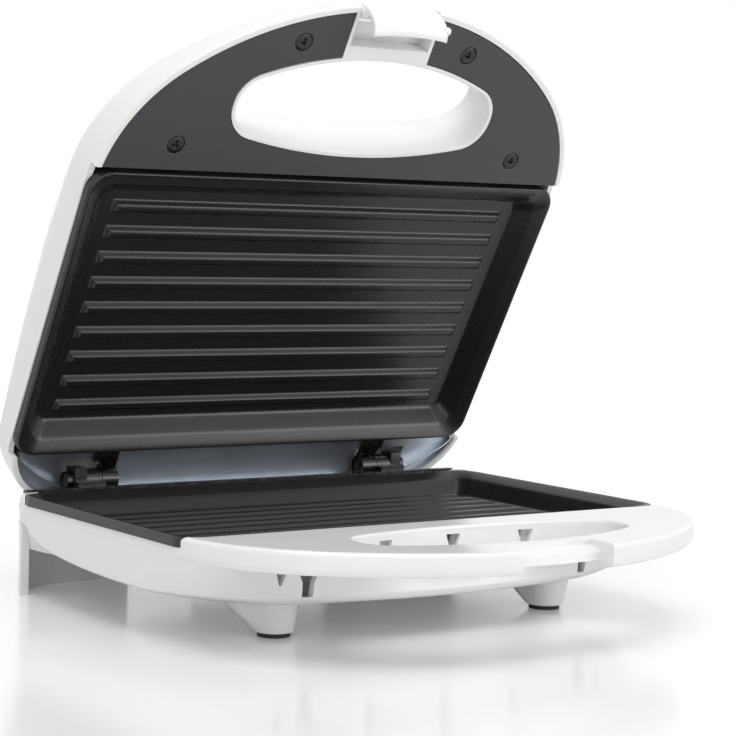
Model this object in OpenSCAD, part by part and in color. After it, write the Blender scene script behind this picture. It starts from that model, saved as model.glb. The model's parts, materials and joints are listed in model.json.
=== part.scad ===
// Sandwich toaster with two ribbed plates, a handle at the front, two pin hinges at the back
// and a latch that swings in the tip of the lid. X runs along the hinge, Y to the back, Z up.
// The origin is on the surface that the toaster stands on, under the middle of its outline.

/* [Plates] */
// Length of each cooking plate along the hinge
plate_l = 220; // [206:1:234]
// Depth of each cooking plate from front to back
plate_w = 127.5; // [120:0.5:135]
// Corner radius of the plates
plate_corner = 9; // [7:0.5:12]
// Depth of the cooking floor below the rim
dish_depth = 10; // [8.5:0.1:11]
// Thickness of the cast plates
plate_wall = 3; // [2.4:0.1:3.6]
// Height of the skirt round a plate
skirt_h = 4; // [3.2:0.1:5]
// Width of the sloping land inside the rim
land_w = 6; // [4.5:0.1:8]
// Fall of the land from the rim to the dish wall
land_drop = 3.2; // [2:0.1:4]
// Run of the steep dish wall between the land and the floor
dish_wall_run = 5.5; // [4:0.1:7]
// Number of ribs on each plate
rib_count = 9; // [5:1:11]
// Distance from the edge of a plate to its first rib
rib_margin = 18.4; // [16:0.1:24]
// Height of a rib above the cooking floor
rib_h = 2; // [1:0.1:3]
// Width of a rib along its top
rib_top_w = 2.5; // [1.5:0.1:3.5]
// Spread of a rib's sides from its top to the floor
rib_flare = 1.1; // [0.5:0.1:2]
// Distance from the end of a rib to the edge of the plate
rib_end = 16.5; // [13:0.1:22]

/* [Shells] */
// Wall of the moulded shells
shell_wall = 2.4; // [2:0.1:2.8]
// Reach of the lid in front of the plates
handle_reach = 75.3; // [70:0.1:82]
// Radius of the front edge
front_r = 135.3; // [130:0.1:150]
// Radius of the front corners
front_corner_r = 66.7; // [60:0.1:72]
// Overhang of the lid shell past the plate at each side
side_margin = 0.6; // [0.4:0.1:1]
// Step from the edge of the lid in to the edge of the base
base_step = 1.3; // [1:0.1:2]
// Distance from the side of the plates in to the start of a rounded rear corner
rear_inset = 50; // [46:0.5:58]
// Radius of the rear corners
rear_r = 68.6; // [64:0.1:76]
// Radius that blends the sides into the rear corners
rear_fillet = 14; // [10:0.5:18]

/* [Lid] */
// Height of the lid above its rim at the crown
lid_h = 39; // [36:0.5:44]
// Height of the lid's side walls at their highest
lid_side_h = 22; // [19:0.5:24]
// Height of the lid at the tip of the handle
lid_tip_h = 8; // [7:0.1:9.5]
// Height of the wall at the tip of the handle
lid_lip_h = 4; // [3.4:0.1:4.6]
// Height of the lid's crown at the rear edge
lid_rear_h = 20; // [18.5:0.5:23]
// Height of the wall along the rear edge
lid_rear_wall_h = 14; // [12:0.5:15]
// Angle that the lid stands open at
open_angle = 60.7; // [40:0.1:80]

/* [Base] */
// Height of the plate rim above the surface
stand_h = 40.2; // [39:0.1:44]
// Depth of the handle bar of the base
bar_h = 8.5; // [8:0.1:10]
// Depth of the tub below the plate rim
tub_depth = 26; // [25:0.1:28]
// Reach of the tub in front of the plates, at the top of its front wall
tub_reach = 9.8; // [8.5:0.1:10.2]
// Slope of the tub's front wall from top to bottom
tub_rake = 4; // [2:0.1:5]
// Radius of the tub's front wall seen from above, at its top
tub_front_r = 700; // [500:10:900]
// Radius of the tub's front wall seen from above, at its bottom
tub_foot_r = 280; // [240:1:340]
// Depth of the side walls below the plate rim
side_depth = 23.8; // [22:0.1:24.5]
// Drop of the rear deck below the plate rim
deck_drop = 11.5; // [11.2:0.1:12.5]
// Gap between the two rear legs
leg_gap = 100; // [70:1:116]
// Thickness of the rear legs
leg_wall = 3.4; // [3:0.1:4.5]
// Distance from the side of the plates in to the middle of each front foot
foot_inset = 46.7; // [40:0.1:54]
// Distance from the front of the plates back to the front feet
foot_y = 15.2; // [10:0.1:25]
// Width of the front feet at the bottom
foot_d = 15; // [13:0.5:18]
// Diameter of the rubber pads
pad_d = 12; // [9:0.5:12.5]
// Height that the rubber pads stand proud
pad_h = 1.7; // [1.2:0.1:2.5]

/* [Handle hole] */
// Width of the handle bar in front of the hole
bar_w = 22; // [20:0.1:24]
// Radius of the hole's front edge
hole_front_r = 132; // [120:1:150]
// Length of the hole along the handle
hole_l = 117.6; // [104:0.1:122]
// Distance from the plates to the middle of the hole's rear edge
hole_rear = 12.5; // [12:0.1:14]
// Radius of the rear edge of the hole
hole_rear_r = 221; // [190:1:260]
// Corner radius of the hole
hole_corner = 11.7; // [8:0.1:12.5]
// Wall of the sleeve that lines the hole
sleeve_wall = 1.6; // [1.2:0.1:2.4]

/* [Hinge] */
// Distance from the plates back to the hinge axis
hinge_back = 13.9; // [13.4:0.1:14.5]
// Height of the hinge axis above the plate rim
hinge_up = 2; // [1.5:0.1:2.5]
// Distance from the hinge axis to the rear face of the lid
rear_reach = 10.6; // [10.2:0.1:11]
// Gap between the two rims when the lid is closed
closed_gap = 0.4; // [0.2:0.1:0.8]
// Distance from the side of the plates in to the joint between two knuckles
knuckle_inset = 42; // [38:0.1:50]
// Length of a knuckle
knuckle_l = 7.4; // [6:0.1:9]
// Diameter of the knuckles
knuckle_d = 9.2; // [8.4:0.1:9.6]
// Diameter of the hinge pins
pin_d = 4; // [3:0.1:4.6]
// Clearance round a pin in its bore
pin_fit = 0.05; // [0.03:0.01:0.08]

/* [Latch] */
// Width of the latch
latch_w = 34; // [30:0.5:35]
// Gap at each side of the latch
latch_gap = 2.8; // [2.2:0.1:3.2]
// Depth of the latch below the lid rim
latch_drop = 10.2; // [9.8:0.1:11]
// Thickness of the latch's curled arm
latch_wall = 2.4; // [2:0.1:2.6]
// Diameter of the pin that the latch swings on
latch_pin_d = 2.4; // [2:0.1:2.6]

/* [Screws and lamps] */
// Diameter of the heads of the handle screws
liner_head_d = 7; // [6:0.1:8]
// Diameter of the screws that hold the plates
screw_d = 3.5; // [3:0.1:4]
// Diameter of the two lamp windows
lamp_d = 7; // [5:0.5:9]
// Diameter of the heating elements
heater_d = 6.5; // [5.5:0.1:6.5]

/* [Hidden] */

// Gaps and small sizes that several pieces share
seat_gap = 0.3;
part_gap = 0.2;
sheet = 0.8;
edge_r = 0.8;
over = 1;
far = 400;

hinge_y = plate_w + hinge_back;
rear_y = hinge_y + rear_reach;
knuckle_x = plate_l / 2 - knuckle_inset;
foot_x = plate_l / 2 - foot_inset;
rear_flat = plate_l - 2 * rear_inset;
lid_half = plate_l / 2 + side_margin;
base_half = lid_half - base_step;
front_cy = front_r - handle_reach;
leg_front = plate_w;
hub_y = 45;
latch_half = latch_w / 2 + latch_gap;
latch_y = 4.5 - handle_reach;
latch_n = 2.2;
ledge_y = 7.9 - handle_reach;
notch_y = 15.7 - handle_reach;

// ---------- outlines ----------

function arc(c, r, a0, a1, n, first = 0) =
    [for (i = [first:n]) let (a = a0 + (a1 - a0) * i / n) c + r * [cos(a), sin(a)]];

function mirrored(half) = [for (i = [len(half) - 1:-1:1]) [-half[i].x, half[i].y]];

// A closed outline: front arc, front corners, straight sides and rounded rear corners,
// drawn in by d, as [half width, front y, front r, front corner r, rear y, rear flat, rear r].
function outline(s, d = 0) = let (
    f = [0, s[1] + s[2]],
    c = [s[0] - s[3], f.y - sqrt(pow(s[2] - s[3], 2) - pow(s[0] - s[3], 2))],
    af = atan2(c.y - f.y, c.x),
    q = [s[5] / 2, s[4] - s[6]],
    l = [s[0] - rear_fillet,
        q.y + sqrt(pow(s[6] - rear_fillet, 2) - pow(s[0] - rear_fillet - q.x, 2))],
    ar = atan2(l.y - q.y, l.x - q.x),
    half = concat(
        arc(f, s[2] - d, -90, af, 7),
        arc(c, s[3] - d, af, 0, 7, 1),
        [for (i = [1:5]) [s[0] - d, c.y + (l.y - c.y) * i / 6]],
        arc(l, rear_fillet - d, 0, ar, 3),
        arc(q, s[6] - d, ar, 90, 5, 1),
        [[s[5] / 4, s[4] - d]]))
    concat(half, [[0, s[4] - d]], mirrored(half));

lid_plan = [lid_half, -handle_reach, front_r, front_corner_r, rear_y, rear_flat, rear_r];
base_plan = [base_half, base_step - handle_reach, front_r - base_step,
    front_corner_r - base_step, rear_y - base_step, rear_flat, rear_r - base_step];
tub_plan = [base_half, -tub_reach, tub_front_r, 18, rear_y - base_step, rear_flat,
    rear_r - base_step];
edge_plan = [base_half, -tub_reach - tub_rake, tub_foot_r, 42, rear_y - base_step, rear_flat,
    rear_r - base_step];
floor_plan = [base_half - 11.3, -tub_reach - tub_rake - 1, tub_foot_r, 45, plate_w - 7.5,
    rear_flat, 62];

// A rectangle of the plate's outline drawn in by e, with its rounded corners
function plate_outline(e) = let (
    r = max(plate_corner - 0.35 * e, 4),
    hx = plate_l / 2 - e,
    y0 = e,
    y1 = plate_w - e)
    concat(
        arc([hx - r, y0 + r], r, -90, 0, 6),
        arc([hx - r, y1 - r], r, 0, 90, 6),
        arc([r - hx, y1 - r], r, 90, 180, 6),
        arc([r - hx, y0 + r], r, 180, 270, 6));

function at_z(pts, z) = [for (p = pts) [p.x, p.y, z]];

// The hole through the handle, grown by g: arcs in front and behind, with rounded corners
function hole_outline(g = 0) = let (
    f = [0, bar_w - handle_reach + hole_front_r],
    fr = hole_front_r,
    b = [0, -hole_rear - hole_rear_r],
    cx = hole_l / 2 - hole_corner,
    c = [cx, f.y - sqrt(pow(fr - hole_corner, 2) - cx * cx)],
    e = [cx, b.y + sqrt(pow(hole_rear_r - hole_corner, 2) - cx * cx)],
    af = atan2(c.y - f.y, c.x),
    ab = atan2(e.y - b.y, e.x),
    r = hole_corner + g,
    right = concat(
        arc(f, fr + g, -90, af, 7),
        arc(c, r, af, 0, 4, 1),
        arc(e, r, 0, ab, 4),
        arc(b, hole_rear_r + g, ab, 90, 5, 1)))
    concat(right, [for (i = [len(right) - 2:-1:1]) [-right[i].x, right[i].y]]);

// ---------- solids ----------

module loft(rings) {
    n = len(rings[0]);
    top = len(rings) - 1;
    polyhedron(
        points = [for (r = rings) for (p = r) p],
        faces = concat(
            [[for (i = [0:n - 1]) i]],
            [for (k = [0:top - 1]) for (i = [0:n - 1]) let (j = (i + 1) % n)
                each [[k * n + i, k * n + n + i, k * n + n + j],
                    [k * n + i, k * n + n + j, k * n + j]]],
            [[for (i = [n - 1:-1:0]) top * n + i]]),
        convexity = 8);
}

module slab(pts, z0, z1) {
    translate([0, 0, z0]) linear_extrude(z1 - z0) polygon(pts);
}

module box(x0, x1, y0, y1, z0, z1) {
    translate([x0, y0, z0]) cube([x1 - x0, y1 - y0, z1 - z0]);
}

module along_x(x0, x1, r, y, z, fn = 32) {
    translate([x0, y, z]) rotate([0, 90, 0]) cylinder(h = x1 - x0, r = r, $fn = fn);
}

module post(x, y, z0, z1, r, fn = 16) {
    translate([x, y, z0]) cylinder(h = z1 - z0, r = r, $fn = fn);
}

module both_sides() {
    children();
    mirror([1, 0, 0]) children();
}

// ---------- frames ----------

// Depth of the lid's crown and wall above the rim, from front to back
crown_blend = 0.02;
function fall(t) = (pow(t * t + crown_blend, 0.6) - pow(crown_blend, 0.6))
    / (pow(1 + crown_blend, 0.6) - pow(crown_blend, 0.6));
function crown(y) = y < hub_y
    ? lid_h - (lid_h - lid_tip_h) * fall((hub_y - y) / (hub_y + handle_reach))
    : lid_h - (lid_h - lid_rear_h) * pow((y - hub_y) / (rear_y - hub_y), 2.8);
function wall_top(y) = y < hub_y
    ? lid_side_h - (lid_side_h - lid_lip_h) * pow((hub_y - y) / (hub_y + handle_reach), 1.9)
    : lid_side_h - (lid_side_h - lid_rear_wall_h) * pow((y - hub_y) / (rear_y - hub_y), 2);

// The rings of a solid that lies t inside the lid's outer surface. A ring above the wall is
// shrunk by k and stands f of the way from the top of the wall to the crown.
function lid_ring(d, k, f, drop) = [for (p = outline(lid_plan, d)) let (
    q = [p.x * k, hub_y + (p.y - hub_y) * k])
    [q.x, q.y, wall_top(p.y) + (crown(q.y) - wall_top(p.y)) * f - drop]];
function wall_ring(d, f, drop) = [for (p = outline(lid_plan, d))
    [p.x, p.y, wall_top(p.y) * f - drop]];
dome_steps = [[0.972, 0.16], [0.93, 0.36], [0.86, 0.58], [0.74, 0.8], [0.55, 0.95], [0.32, 1]];
function lid_rings(t) = concat(
    t > 0 ? [at_z(outline(lid_plan, t), -over)] : [at_z(outline(lid_plan, edge_r), 0)],
    [at_z(outline(lid_plan, t), t > 0 ? 0.3 : edge_r),
        wall_ring(t + 0.2, 0.66, t), wall_ring(t + 1, 0.92, t)],
    [for (s = dome_steps) lid_ring(t + 1, s[0], s[1], t)],
    [at_z([for (p = outline(lid_plan, t + 1)) [p.x * 0.1, hub_y + (p.y - hub_y) * 0.1]],
        lid_h - t)]);

// The open lid reaches back past the base, so the middle of the whole depends on its angle
function open_y(p) = hinge_y + (p.y - hinge_y) * cos(open_angle)
    + (p.z + closed_gap - hinge_up) * sin(open_angle);
front_y = front_cy - sqrt(pow(front_r - base_step, 2) - pow(latch_half + seat_gap, 2));
back_y = max([for (r = lid_rings(0)) for (p = r) open_y(p)]);
origin_y = (front_y + back_y) / 2;

module base_frame() {
    translate([0, -origin_y, stand_h]) children();
}

module lid_frame() {
    base_frame() translate([0, hinge_y, hinge_up]) rotate([-open_angle, 0, 0])
        translate([0, -hinge_y, closed_gap - hinge_up]) children();
}

// ---------- plates ----------

plate_top = [[edge_r * 0.3, -edge_r], [edge_r, -0.15], [land_w * 0.45, -land_drop * 0.3],
    [land_w, -land_drop], [land_w + dish_wall_run * 0.25, -land_drop - 1.6],
    [land_w + dish_wall_run * 0.8, 1.1 - dish_depth], [land_w + dish_wall_run, -dish_depth]];
plate_under = [[plate_wall * 0.8, -skirt_h], [plate_wall, -land_drop * 0.4 - plate_wall],
    [land_w - 1.2, -land_drop - plate_wall * 0.8],
    [land_w + dish_wall_run * 0.8 - plate_wall * 0.8, 0.4 - dish_depth - plate_wall * 0.7],
    [land_w + dish_wall_run, -dish_depth - plate_wall]];
rib_pitch = (plate_w - 2 * rib_margin) / (rib_count - 1);
boss_x = plate_l / 2 - 66;
boss_y = 37;
boss_spots = [for (x = [-boss_x, boss_x]) for (y = [boss_y, plate_w - boss_y]) [x, y]];
plate_back = dish_depth + plate_wall;
sheet_z = plate_back + heater_d + 0.4;

module rib(y) {
    h = plate_l / 2 - rib_end;
    hull() {
        box(-h, h, y - rib_top_w / 2, y + rib_top_w / 2, -dish_depth, rib_h - dish_depth);
        box(-h - 1.6, h + 1.6, y - rib_top_w / 2 - rib_flare, y + rib_top_w / 2 + rib_flare,
            -dish_depth - 0.5, -dish_depth);
    }
}

module cooking_plate() {
    difference() {
        union() {
            loft([for (s = [plate_under[4], plate_under[3], plate_under[2], plate_under[1],
                plate_under[0], [0, -skirt_h], plate_top[0], plate_top[1]])
                at_z(plate_outline(s[0]), s[1])]);
            for (b = boss_spots) post(b.x, b.y, -sheet_z, -plate_back + 0.5, 5);
        }
        loft([for (i = [6:-1:1]) at_z(plate_outline(plate_top[i][0]), plate_top[i][1]),
            at_z(plate_outline(edge_r), over)]);
        for (b = boss_spots) post(b.x, b.y, -sheet_z - over, -plate_back, screw_d / 2 + 0.1);
    }
    for (i = [0:rib_count - 1]) rib(rib_margin + i * rib_pitch);
}

module base_plate() {
    color([0.09, 0.09, 0.1]) base_frame() cooking_plate();
}

module lid_plate() {
    color([0.09, 0.09, 0.1]) lid_frame() mirror([0, 0, 1]) cooking_plate();
}

// ---------- heating ----------

heater_x = plate_l / 2 - 28;
heater_y0 = 24;
heater_y1 = plate_w - 20;
heater_bend = 16;

// A heating element bent to three sides of the plate, with its ends at the back
module heating_element() {
    r = heater_d / 2;
    z = -plate_back - r - 0.1;
    corner_y = heater_y0 + heater_bend;
    along_x(-heater_x + heater_bend, heater_x - heater_bend, r, heater_y0, z);
    both_sides() {
        translate([heater_x - heater_bend, corner_y, z]) rotate([0, 0, -90])
            rotate_extrude(angle = 90, $fn = 96) translate([heater_bend, 0]) circle(r, $fn = 32);
        translate([heater_x, corner_y, z]) rotate([-90, 0, 0])
            cylinder(h = heater_y1 - corner_y, r = r, $fn = 32);
        translate([heater_x, heater_y1, z]) rotate([-90, 0, 0])
            cylinder(h = 7, r = r * 0.45, $fn = 24);
    }
}

module base_heater() {
    color([0.45, 0.43, 0.42]) base_frame() heating_element();
}

module lid_heater() {
    color([0.45, 0.43, 0.42]) lid_frame() mirror([0, 0, 1]) heating_element();
}

reflector_x = plate_l / 2 - 16;
block_l = 30;

module reflector_holes() {
    for (b = boss_spots) translate(b) circle(screw_d / 2 + 0.3, $fn = 32);
}

module base_reflector() {
    color([0.72, 0.74, 0.76]) base_frame() translate([0, 0, -sheet_z - sheet])
        linear_extrude(sheet) difference() {
            translate([-reflector_x + 4, 14]) square([2 * reflector_x - 8, plate_w - 27]);
            translate([-block_l / 2 - 1, plate_w - 30]) square([block_l + 2, far]);
            reflector_holes();
        }
}

apron_floor = 4.4;
apron_y = plate_w + 0.5;
step_half = reflector_x - 12;

// The lid's sheet lies behind its plate and steps down to line the hollow at the hinges
module lid_reflector() {
    inner = outline(lid_plan, shell_wall + 0.4);
    color([0.6, 0.64, 0.68]) lid_frame() difference() {
        union() {
            difference() {
                translate([0, 0, sheet_z]) linear_extrude(sheet) polygon([
                    [-reflector_x, 14], [reflector_x, 14], [reflector_x, apron_y - 14],
                    [step_half, apron_y + sheet], [-step_half, apron_y + sheet],
                    [-reflector_x, apron_y - 14]]);
                translate([0, 0, sheet_z - over]) linear_extrude(sheet + 2 * over)
                    reflector_holes();
            }
            box(-step_half, step_half, apron_y, apron_y + sheet, apron_floor, sheet_z + sheet);
            intersection() {
                slab(inner, apron_floor, apron_floor + sheet);
                box(-far, far, apron_y, far, 0, far);
            }
            intersection() {
                difference() {
                    slab(inner, 1, apron_floor + sheet);
                    slab(outline(lid_plan, shell_wall + 0.4 + sheet), 0, far);
                }
                box(-far, far, apron_y, far, 0, far);
            }
        }
        both_sides() {
            box(knuckle_x - knuckle_l - 1.6, knuckle_x + knuckle_l + lug_l + pin_head + 1.5,
                hinge_y - knuckle_d / 2 - 3, far, -over, apron_floor + 2 * sheet);
            post(arm_screw_x, arm_screw_y, 0, far, screw_d / 2 + 0.3, 32);
        }
    }
}

module screw(r_head, h_head, l) {
    cylinder(h = h_head, r = r_head, $fn = 32);
    translate([0, 0, h_head]) cylinder(h = l, r = screw_d / 2, $fn = 32);
}

counterbore = 1.6;

module base_screws() {
    color([0.3, 0.3, 0.32]) base_frame() for (b = boss_spots)
        translate([b.x, b.y, -tub_depth + counterbore - 1.2])
            screw(3, 1.2, tub_depth - counterbore - plate_back - 3);
}

module lid_plate_screws() {
    color([0.3, 0.3, 0.32]) lid_frame() for (b = boss_spots)
        translate([b.x, b.y, sheet_z + sheet + 1.4]) rotate([180, 0, 0])
            screw(3, 1.4, sheet + sheet_z - plate_back - 2.5);
}

// ---------- electrical parts in the base ----------

module thermostat() {
    z = -plate_back;
    color([0.85, 0.83, 0.78]) base_frame() {
        post(0, 66, z - 5.4, z - 0.1, 8, 48);
        box(-11, 11, 63, 69, z - 1, z - 0.1);
        box(-5.5, -3.5, 56, 76, z - 4.6, z - 3.8);
        box(3.5, 5.5, 56, 76, z - 4.6, z - 3.8);
    }
}

module thermal_fuse() {
    color([0.9, 0.88, 0.8]) base_frame() {
        along_x(24, 38, 2.2, 76, -sheet_z + 2.2);
        along_x(16, 46, 0.6, 76, -sheet_z + 2.2, 24);
        box(29, 33, 72, 80, -sheet_z, -sheet_z + 0.9);
    }
}

floor_z = shell_wall - tub_depth;

module terminal_block() {
    color([0.88, 0.88, 0.86]) base_frame() difference() {
        box(-block_l / 2, block_l / 2, plate_w - 29, plate_w - 18, floor_z, floor_z + 9);
        for (x = [-9, 0, 9]) {
            translate([x, 0, floor_z + 5]) rotate([-90, 0, 0])
                cylinder(h = far, r = 1.6, $fn = 32);
            post(x, plate_w - 23.5, floor_z + 5, far, 2, 32);
        }
    }
}

gland_z = -18.7;
gland_r = 4.4;
cord_bore = 7;
housing_x = 17;

module cord_gland() {
    color([0.1, 0.1, 0.1]) base_frame() translate([0, rear_y - base_step, gland_z])
        rotate([90, 0, 0]) difference() {
            union() {
                translate([0, 0, -1.8]) cylinder(h = 1.8, r = gland_r + 1.4, $fn = 64);
                cylinder(h = shell_wall + 0.2, r = gland_r - 0.1, $fn = 64);
                translate([0, 0, shell_wall + 0.2]) cylinder(h = 1.4, r = gland_r + 0.2, $fn = 64);
            }
            translate([0, 0, -far / 2]) cylinder(h = far, r = cord_bore / 2, $fn = 64);
        }
}

// ---------- base shell ----------

// Lower edge of the side walls, which arches up to meet the rear legs
arch_y = 49;
arch_length = 75.5;
arch_rise = 10.7;
function arch(t) = let (u = min(t, 1)) arch_rise * (0.53 * pow(u, 2.2) + 0.47 * pow(u, 12));
function ease(t) = let (u = min(max(t, 0), 1)) u * u * (3 - 2 * u);
function side_edge(y) =
    y > leg_front + 2 ? -side_depth + 1.4
    : y > arch_y ? arch((y - arch_y) / arch_length) - side_depth
    : let (side = 1.7 * pow((arch_y - y) / arch_y, 2) - side_depth, turn = ease((20 - y) / 32))
        side + (1.4 - tub_depth - side) * turn;
crease_z = -9;
band_inset = 0.3;
function edge_ring(d, drop) = [for (p = outline(edge_plan, d))
    [p.x, p.y, max(side_edge(p.y), 1.4 - tub_depth) + drop]];

// The walls turn under in a curve that starts at a, bends at b and ends on the floor at c
function turned(a, b, c, t) = (1 - t) * (1 - t) * a + 2 * t * (1 - t) * b + t * t * c;
turn_rings = [
    at_z(outline(floor_plan, 5), -tub_depth),
    edge_ring(0.9, -0.3),
    edge_ring(0.6, 2)];
tub_outer = [
    turn_rings[0],
    for (t = [0.25:0.25:0.75]) turned(turn_rings[0], turn_rings[1], turn_rings[2], t),
    turn_rings[2],
    at_z(outline(tub_plan, band_inset), crease_z),
    at_z(outline(tub_plan, band_inset), -skirt_h - 2)];
tub_inner = [
    at_z(outline(floor_plan, 6.5), floor_z),
    at_z(outline(floor_plan, 4), floor_z + 1),
    edge_ring(1.2 + shell_wall, shell_wall),
    at_z(outline(tub_plan, shell_wall + band_inset), crease_z + 1),
    at_z(outline(tub_plan, shell_wall + band_inset), over)];
bar_outer = [
    at_z(outline(base_plan, 1.6), -bar_h),
    at_z(outline(base_plan, 0.4), -bar_h + 1.1),
    at_z(outline(base_plan, 0), -bar_h + 3),
    at_z(outline(base_plan, 0), -1.7),
    at_z(outline(base_plan, 0.5), -0.5),
    at_z(outline(base_plan, 1.7), 0)];

module tub_cavity() {
    intersection() {
        loft(tub_inner);
        union() {
            box(-far, far, -far, plate_w - 1.5, -far, -shell_wall);
            box(-far, far, -far, far, -far, -deck_drop - shell_wall);
        }
    }
}

ledge_top = -2.4;
ledge_h = 4;

// The band round the base runs out into the handle bar, which is open below
module band() {
    difference() {
        loft(bar_outer);
        difference() {
            slab(outline(base_plan, shell_wall + 0.1), -far, -shell_wall);
            slab(outline(tub_plan, 0.5), -far, far);
            slab(hole_outline(sleeve_wall), -far, far);
            box(-far, far, -shell_wall - seat_gap, far, -far, far);
        }
    }
}

// Ribs that stiffen the bar from below
module bar_rib(a) {
    c = [0, front_cy];
    hull() {
        translate(c + (front_r - base_step - 1.5) * [sin(a), -cos(a)])
            translate([0, 0, -bar_h + 2.6]) cylinder(h = bar_h - 3.4, r = 0.8, $fn = 8);
        translate(c + (front_r - bar_w + 1) * [sin(a), -cos(a)])
            translate([0, 0, -bar_h + 2.6]) cylinder(h = bar_h - 3.4, r = 0.8, $fn = 8);
    }
}

module plate_seat() {
    intersection() {
        difference() {
            slab(plate_outline(-2.6), -2 * skirt_h, 0);
            slab(plate_outline(plate_wall - 0.5), -far, far);
            box(-far, far, plate_w, far, -0.6, far);
        }
        slab(outline(base_plan, 1.1), -far, far);
    }
}

leg_inset = 0.35;
leg_plan = [base_half - leg_inset, base_step - handle_reach, front_r, front_corner_r,
    rear_y - base_step - leg_inset, rear_flat - 5, rear_r - base_step + 1.7];

// The legs and feet are cut from the tub level with its floor
module leg_walls() {
    difference() {
        slab(outline(leg_plan), -stand_h, -deck_drop - 0.5);
        slab(outline(leg_plan, leg_wall), -far, far);
        box(-leg_gap / 2, leg_gap / 2, -far, far, -far, far);
        box(-far, far, -far, leg_front, -far, far);
    }
}

// Each rear leg carries its corner of the deck, with the shell's wall round it
module rear_leg(side) {
    color([0.93, 0.93, 0.93]) base_frame() intersection() {
        union() {
            intersection() {
                leg_walls();
                box(-far, far, 0, far, -far, -tub_depth);
            }
            intersection() {
                moulding();
                box(-far, far, deck_y, far, -far, far);
            }
        }
        scale([side, 1, 1]) box(housing_x, far, 0, far, -far, far);
    }
}

module rear_leg_left() { rear_leg(-1); }
module rear_leg_right() { rear_leg(1); }

foot_top = 2 - tub_depth;

module foot_body() {
    hull() {
        post(foot_x, foot_y, pad_h - stand_h, pad_h - stand_h + 2, foot_d / 2, 32);
        post(foot_x + 2.7, foot_y + 15, foot_top - 1, foot_top, 14, 32);
        post(foot_x + 0.2, foot_y - 1.2, foot_top - 1, foot_top, 9, 32);
    }
}

module front_foot(side) {
    color([0.93, 0.93, 0.93]) base_frame() scale([side, 1, 1]) difference() {
        foot_body();
        box(-far, far, -far, far, -tub_depth, far);
        post(foot_x, foot_y, -far, pad_h - stand_h + 2, pad_d / 2 - 2.1, 32);
    }
}

module front_foot_left() { front_foot(-1); }
module front_foot_right() { front_foot(1); }

// A ledge in the notch, which the latch hooks under, between two cheeks
module latch_catch() {
    x = latch_half + shell_wall - 0.3;
    intersection() {
        union() {
            intersection() {
                translate([-x, 0, 0]) rotate([90, 0, 90]) linear_extrude(2 * x) polygon([
                    [-far, ledge_top - 2.2], [ledge_y + 1.4, ledge_top - 1.2],
                    [notch_y - 1, ledge_top + 0.6], [notch_y + 3, ledge_top + 0.6],
                    [notch_y + 3, ledge_top - ledge_h], [-far, ledge_top - ledge_h]]);
                post(0, front_cy, -far, far, front_cy - ledge_y, 256);
            }
            both_sides() box(latch_half + 0.3, x + 0.3, -far, notch_y + 2.4, -bar_h + 1, -0.6);
        }
        slab(outline(base_plan, 0.6), -far, far);
    }
}

// Vents in the wall behind the handle hole and above each foot
vent_spots = [-37, -4.5, 28];

module vents() {
    for (x = vent_spots) translate([x, 0, 0]) rotate([90, 0, 0]) linear_extrude(30)
        polygon([[-3.3, -3.1], [3.3, -3.1], [1.8, -7.5], [1.8, -17], [-1.8, -17], [-1.8, -7.5]]);
    both_sides() {
        translate([foot_x, 0, 0]) rotate([90, 0, 0]) linear_extrude(30)
            polygon([[-5, -12], [5, -12], [2.3, -17.5], [2, -23], [-2, -23], [-2.3, -17.5]]);
        translate([foot_x + 10.5, 0, 0]) rotate([90, 0, 0]) linear_extrude(30)
            polygon([[-2.6, -12], [2.6, -12], [0.4, -18.5], [-0.4, -18.5]]);
    }
}

housing_top = -deck_drop - shell_wall;
joint_y = shell_wall - tub_reach + 1;
deck_y = plate_w + 2.9;

module handle_side() {
    box(-far, far, -far, joint_y, -bar_h - 0.3, far);
}

// The tub, the band and the handle bar are one moulding
module moulding() {
    difference() {
        union() {
            difference() {
                union() {
                    loft(tub_outer);
                    band();
                    for (a = [14, 22, 32, 42]) both_sides() bar_rib(a);
                }
                tub_cavity();
                box(-latch_half - 0.3, latch_half + 0.3, -far, notch_y, -far, far);
                box(-far, far, plate_w + 2.8, far, -deck_drop, far);
            }
            latch_catch();
            plate_seat();
            intersection() {
                leg_walls();
                box(-far, far, -far, far, -tub_depth, far);
            }
            both_sides() intersection() {
                foot_body();
                box(-far, far, -far, far, -tub_depth, far);
            }
            for (b = boss_spots) post(b.x, b.y, floor_z - 1, -sheet_z - sheet, 5);
            for (x = [-45, 45]) post(x, 104, floor_z - 1, -sheet_z - sheet, 3);
        }
        slab(plate_outline(-seat_gap), -skirt_h, over);
        slab(plate_outline(plate_wall - 0.6), -skirt_h - 1.6, 0);
        slab(hole_outline(), -bar_h - 0.6, far);
        vents();
        for (b = boss_spots) {
            post(b.x, b.y, -far, far, screw_d / 2 + 0.3);
            post(b.x, b.y, -far, -tub_depth + counterbore, 3.3);
        }
        both_sides() {
            for (x = bracket_screws) post(x, bracket_screw_y, -deck_drop - 5, over, 1.3);
            for (x = rail_screws) translate([x, rail_y, rail_screw_z]) rotate([90, 0, 0])
                cylinder(h = 4.2, r = 1.3, $fn = 16);
        }
    }
}

module base_shell() {
    color([0.93, 0.93, 0.93]) base_frame() difference() {
        moulding();
        handle_side();
        box(-far, far, deck_y, far, -far, far);
        box(-housing_x, housing_x, plate_w - 12, far, -far, housing_top);
    }
}

module handle_bar() {
    color([0.93, 0.93, 0.93]) base_frame() intersection() {
        moulding();
        handle_side();
    }
}

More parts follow.
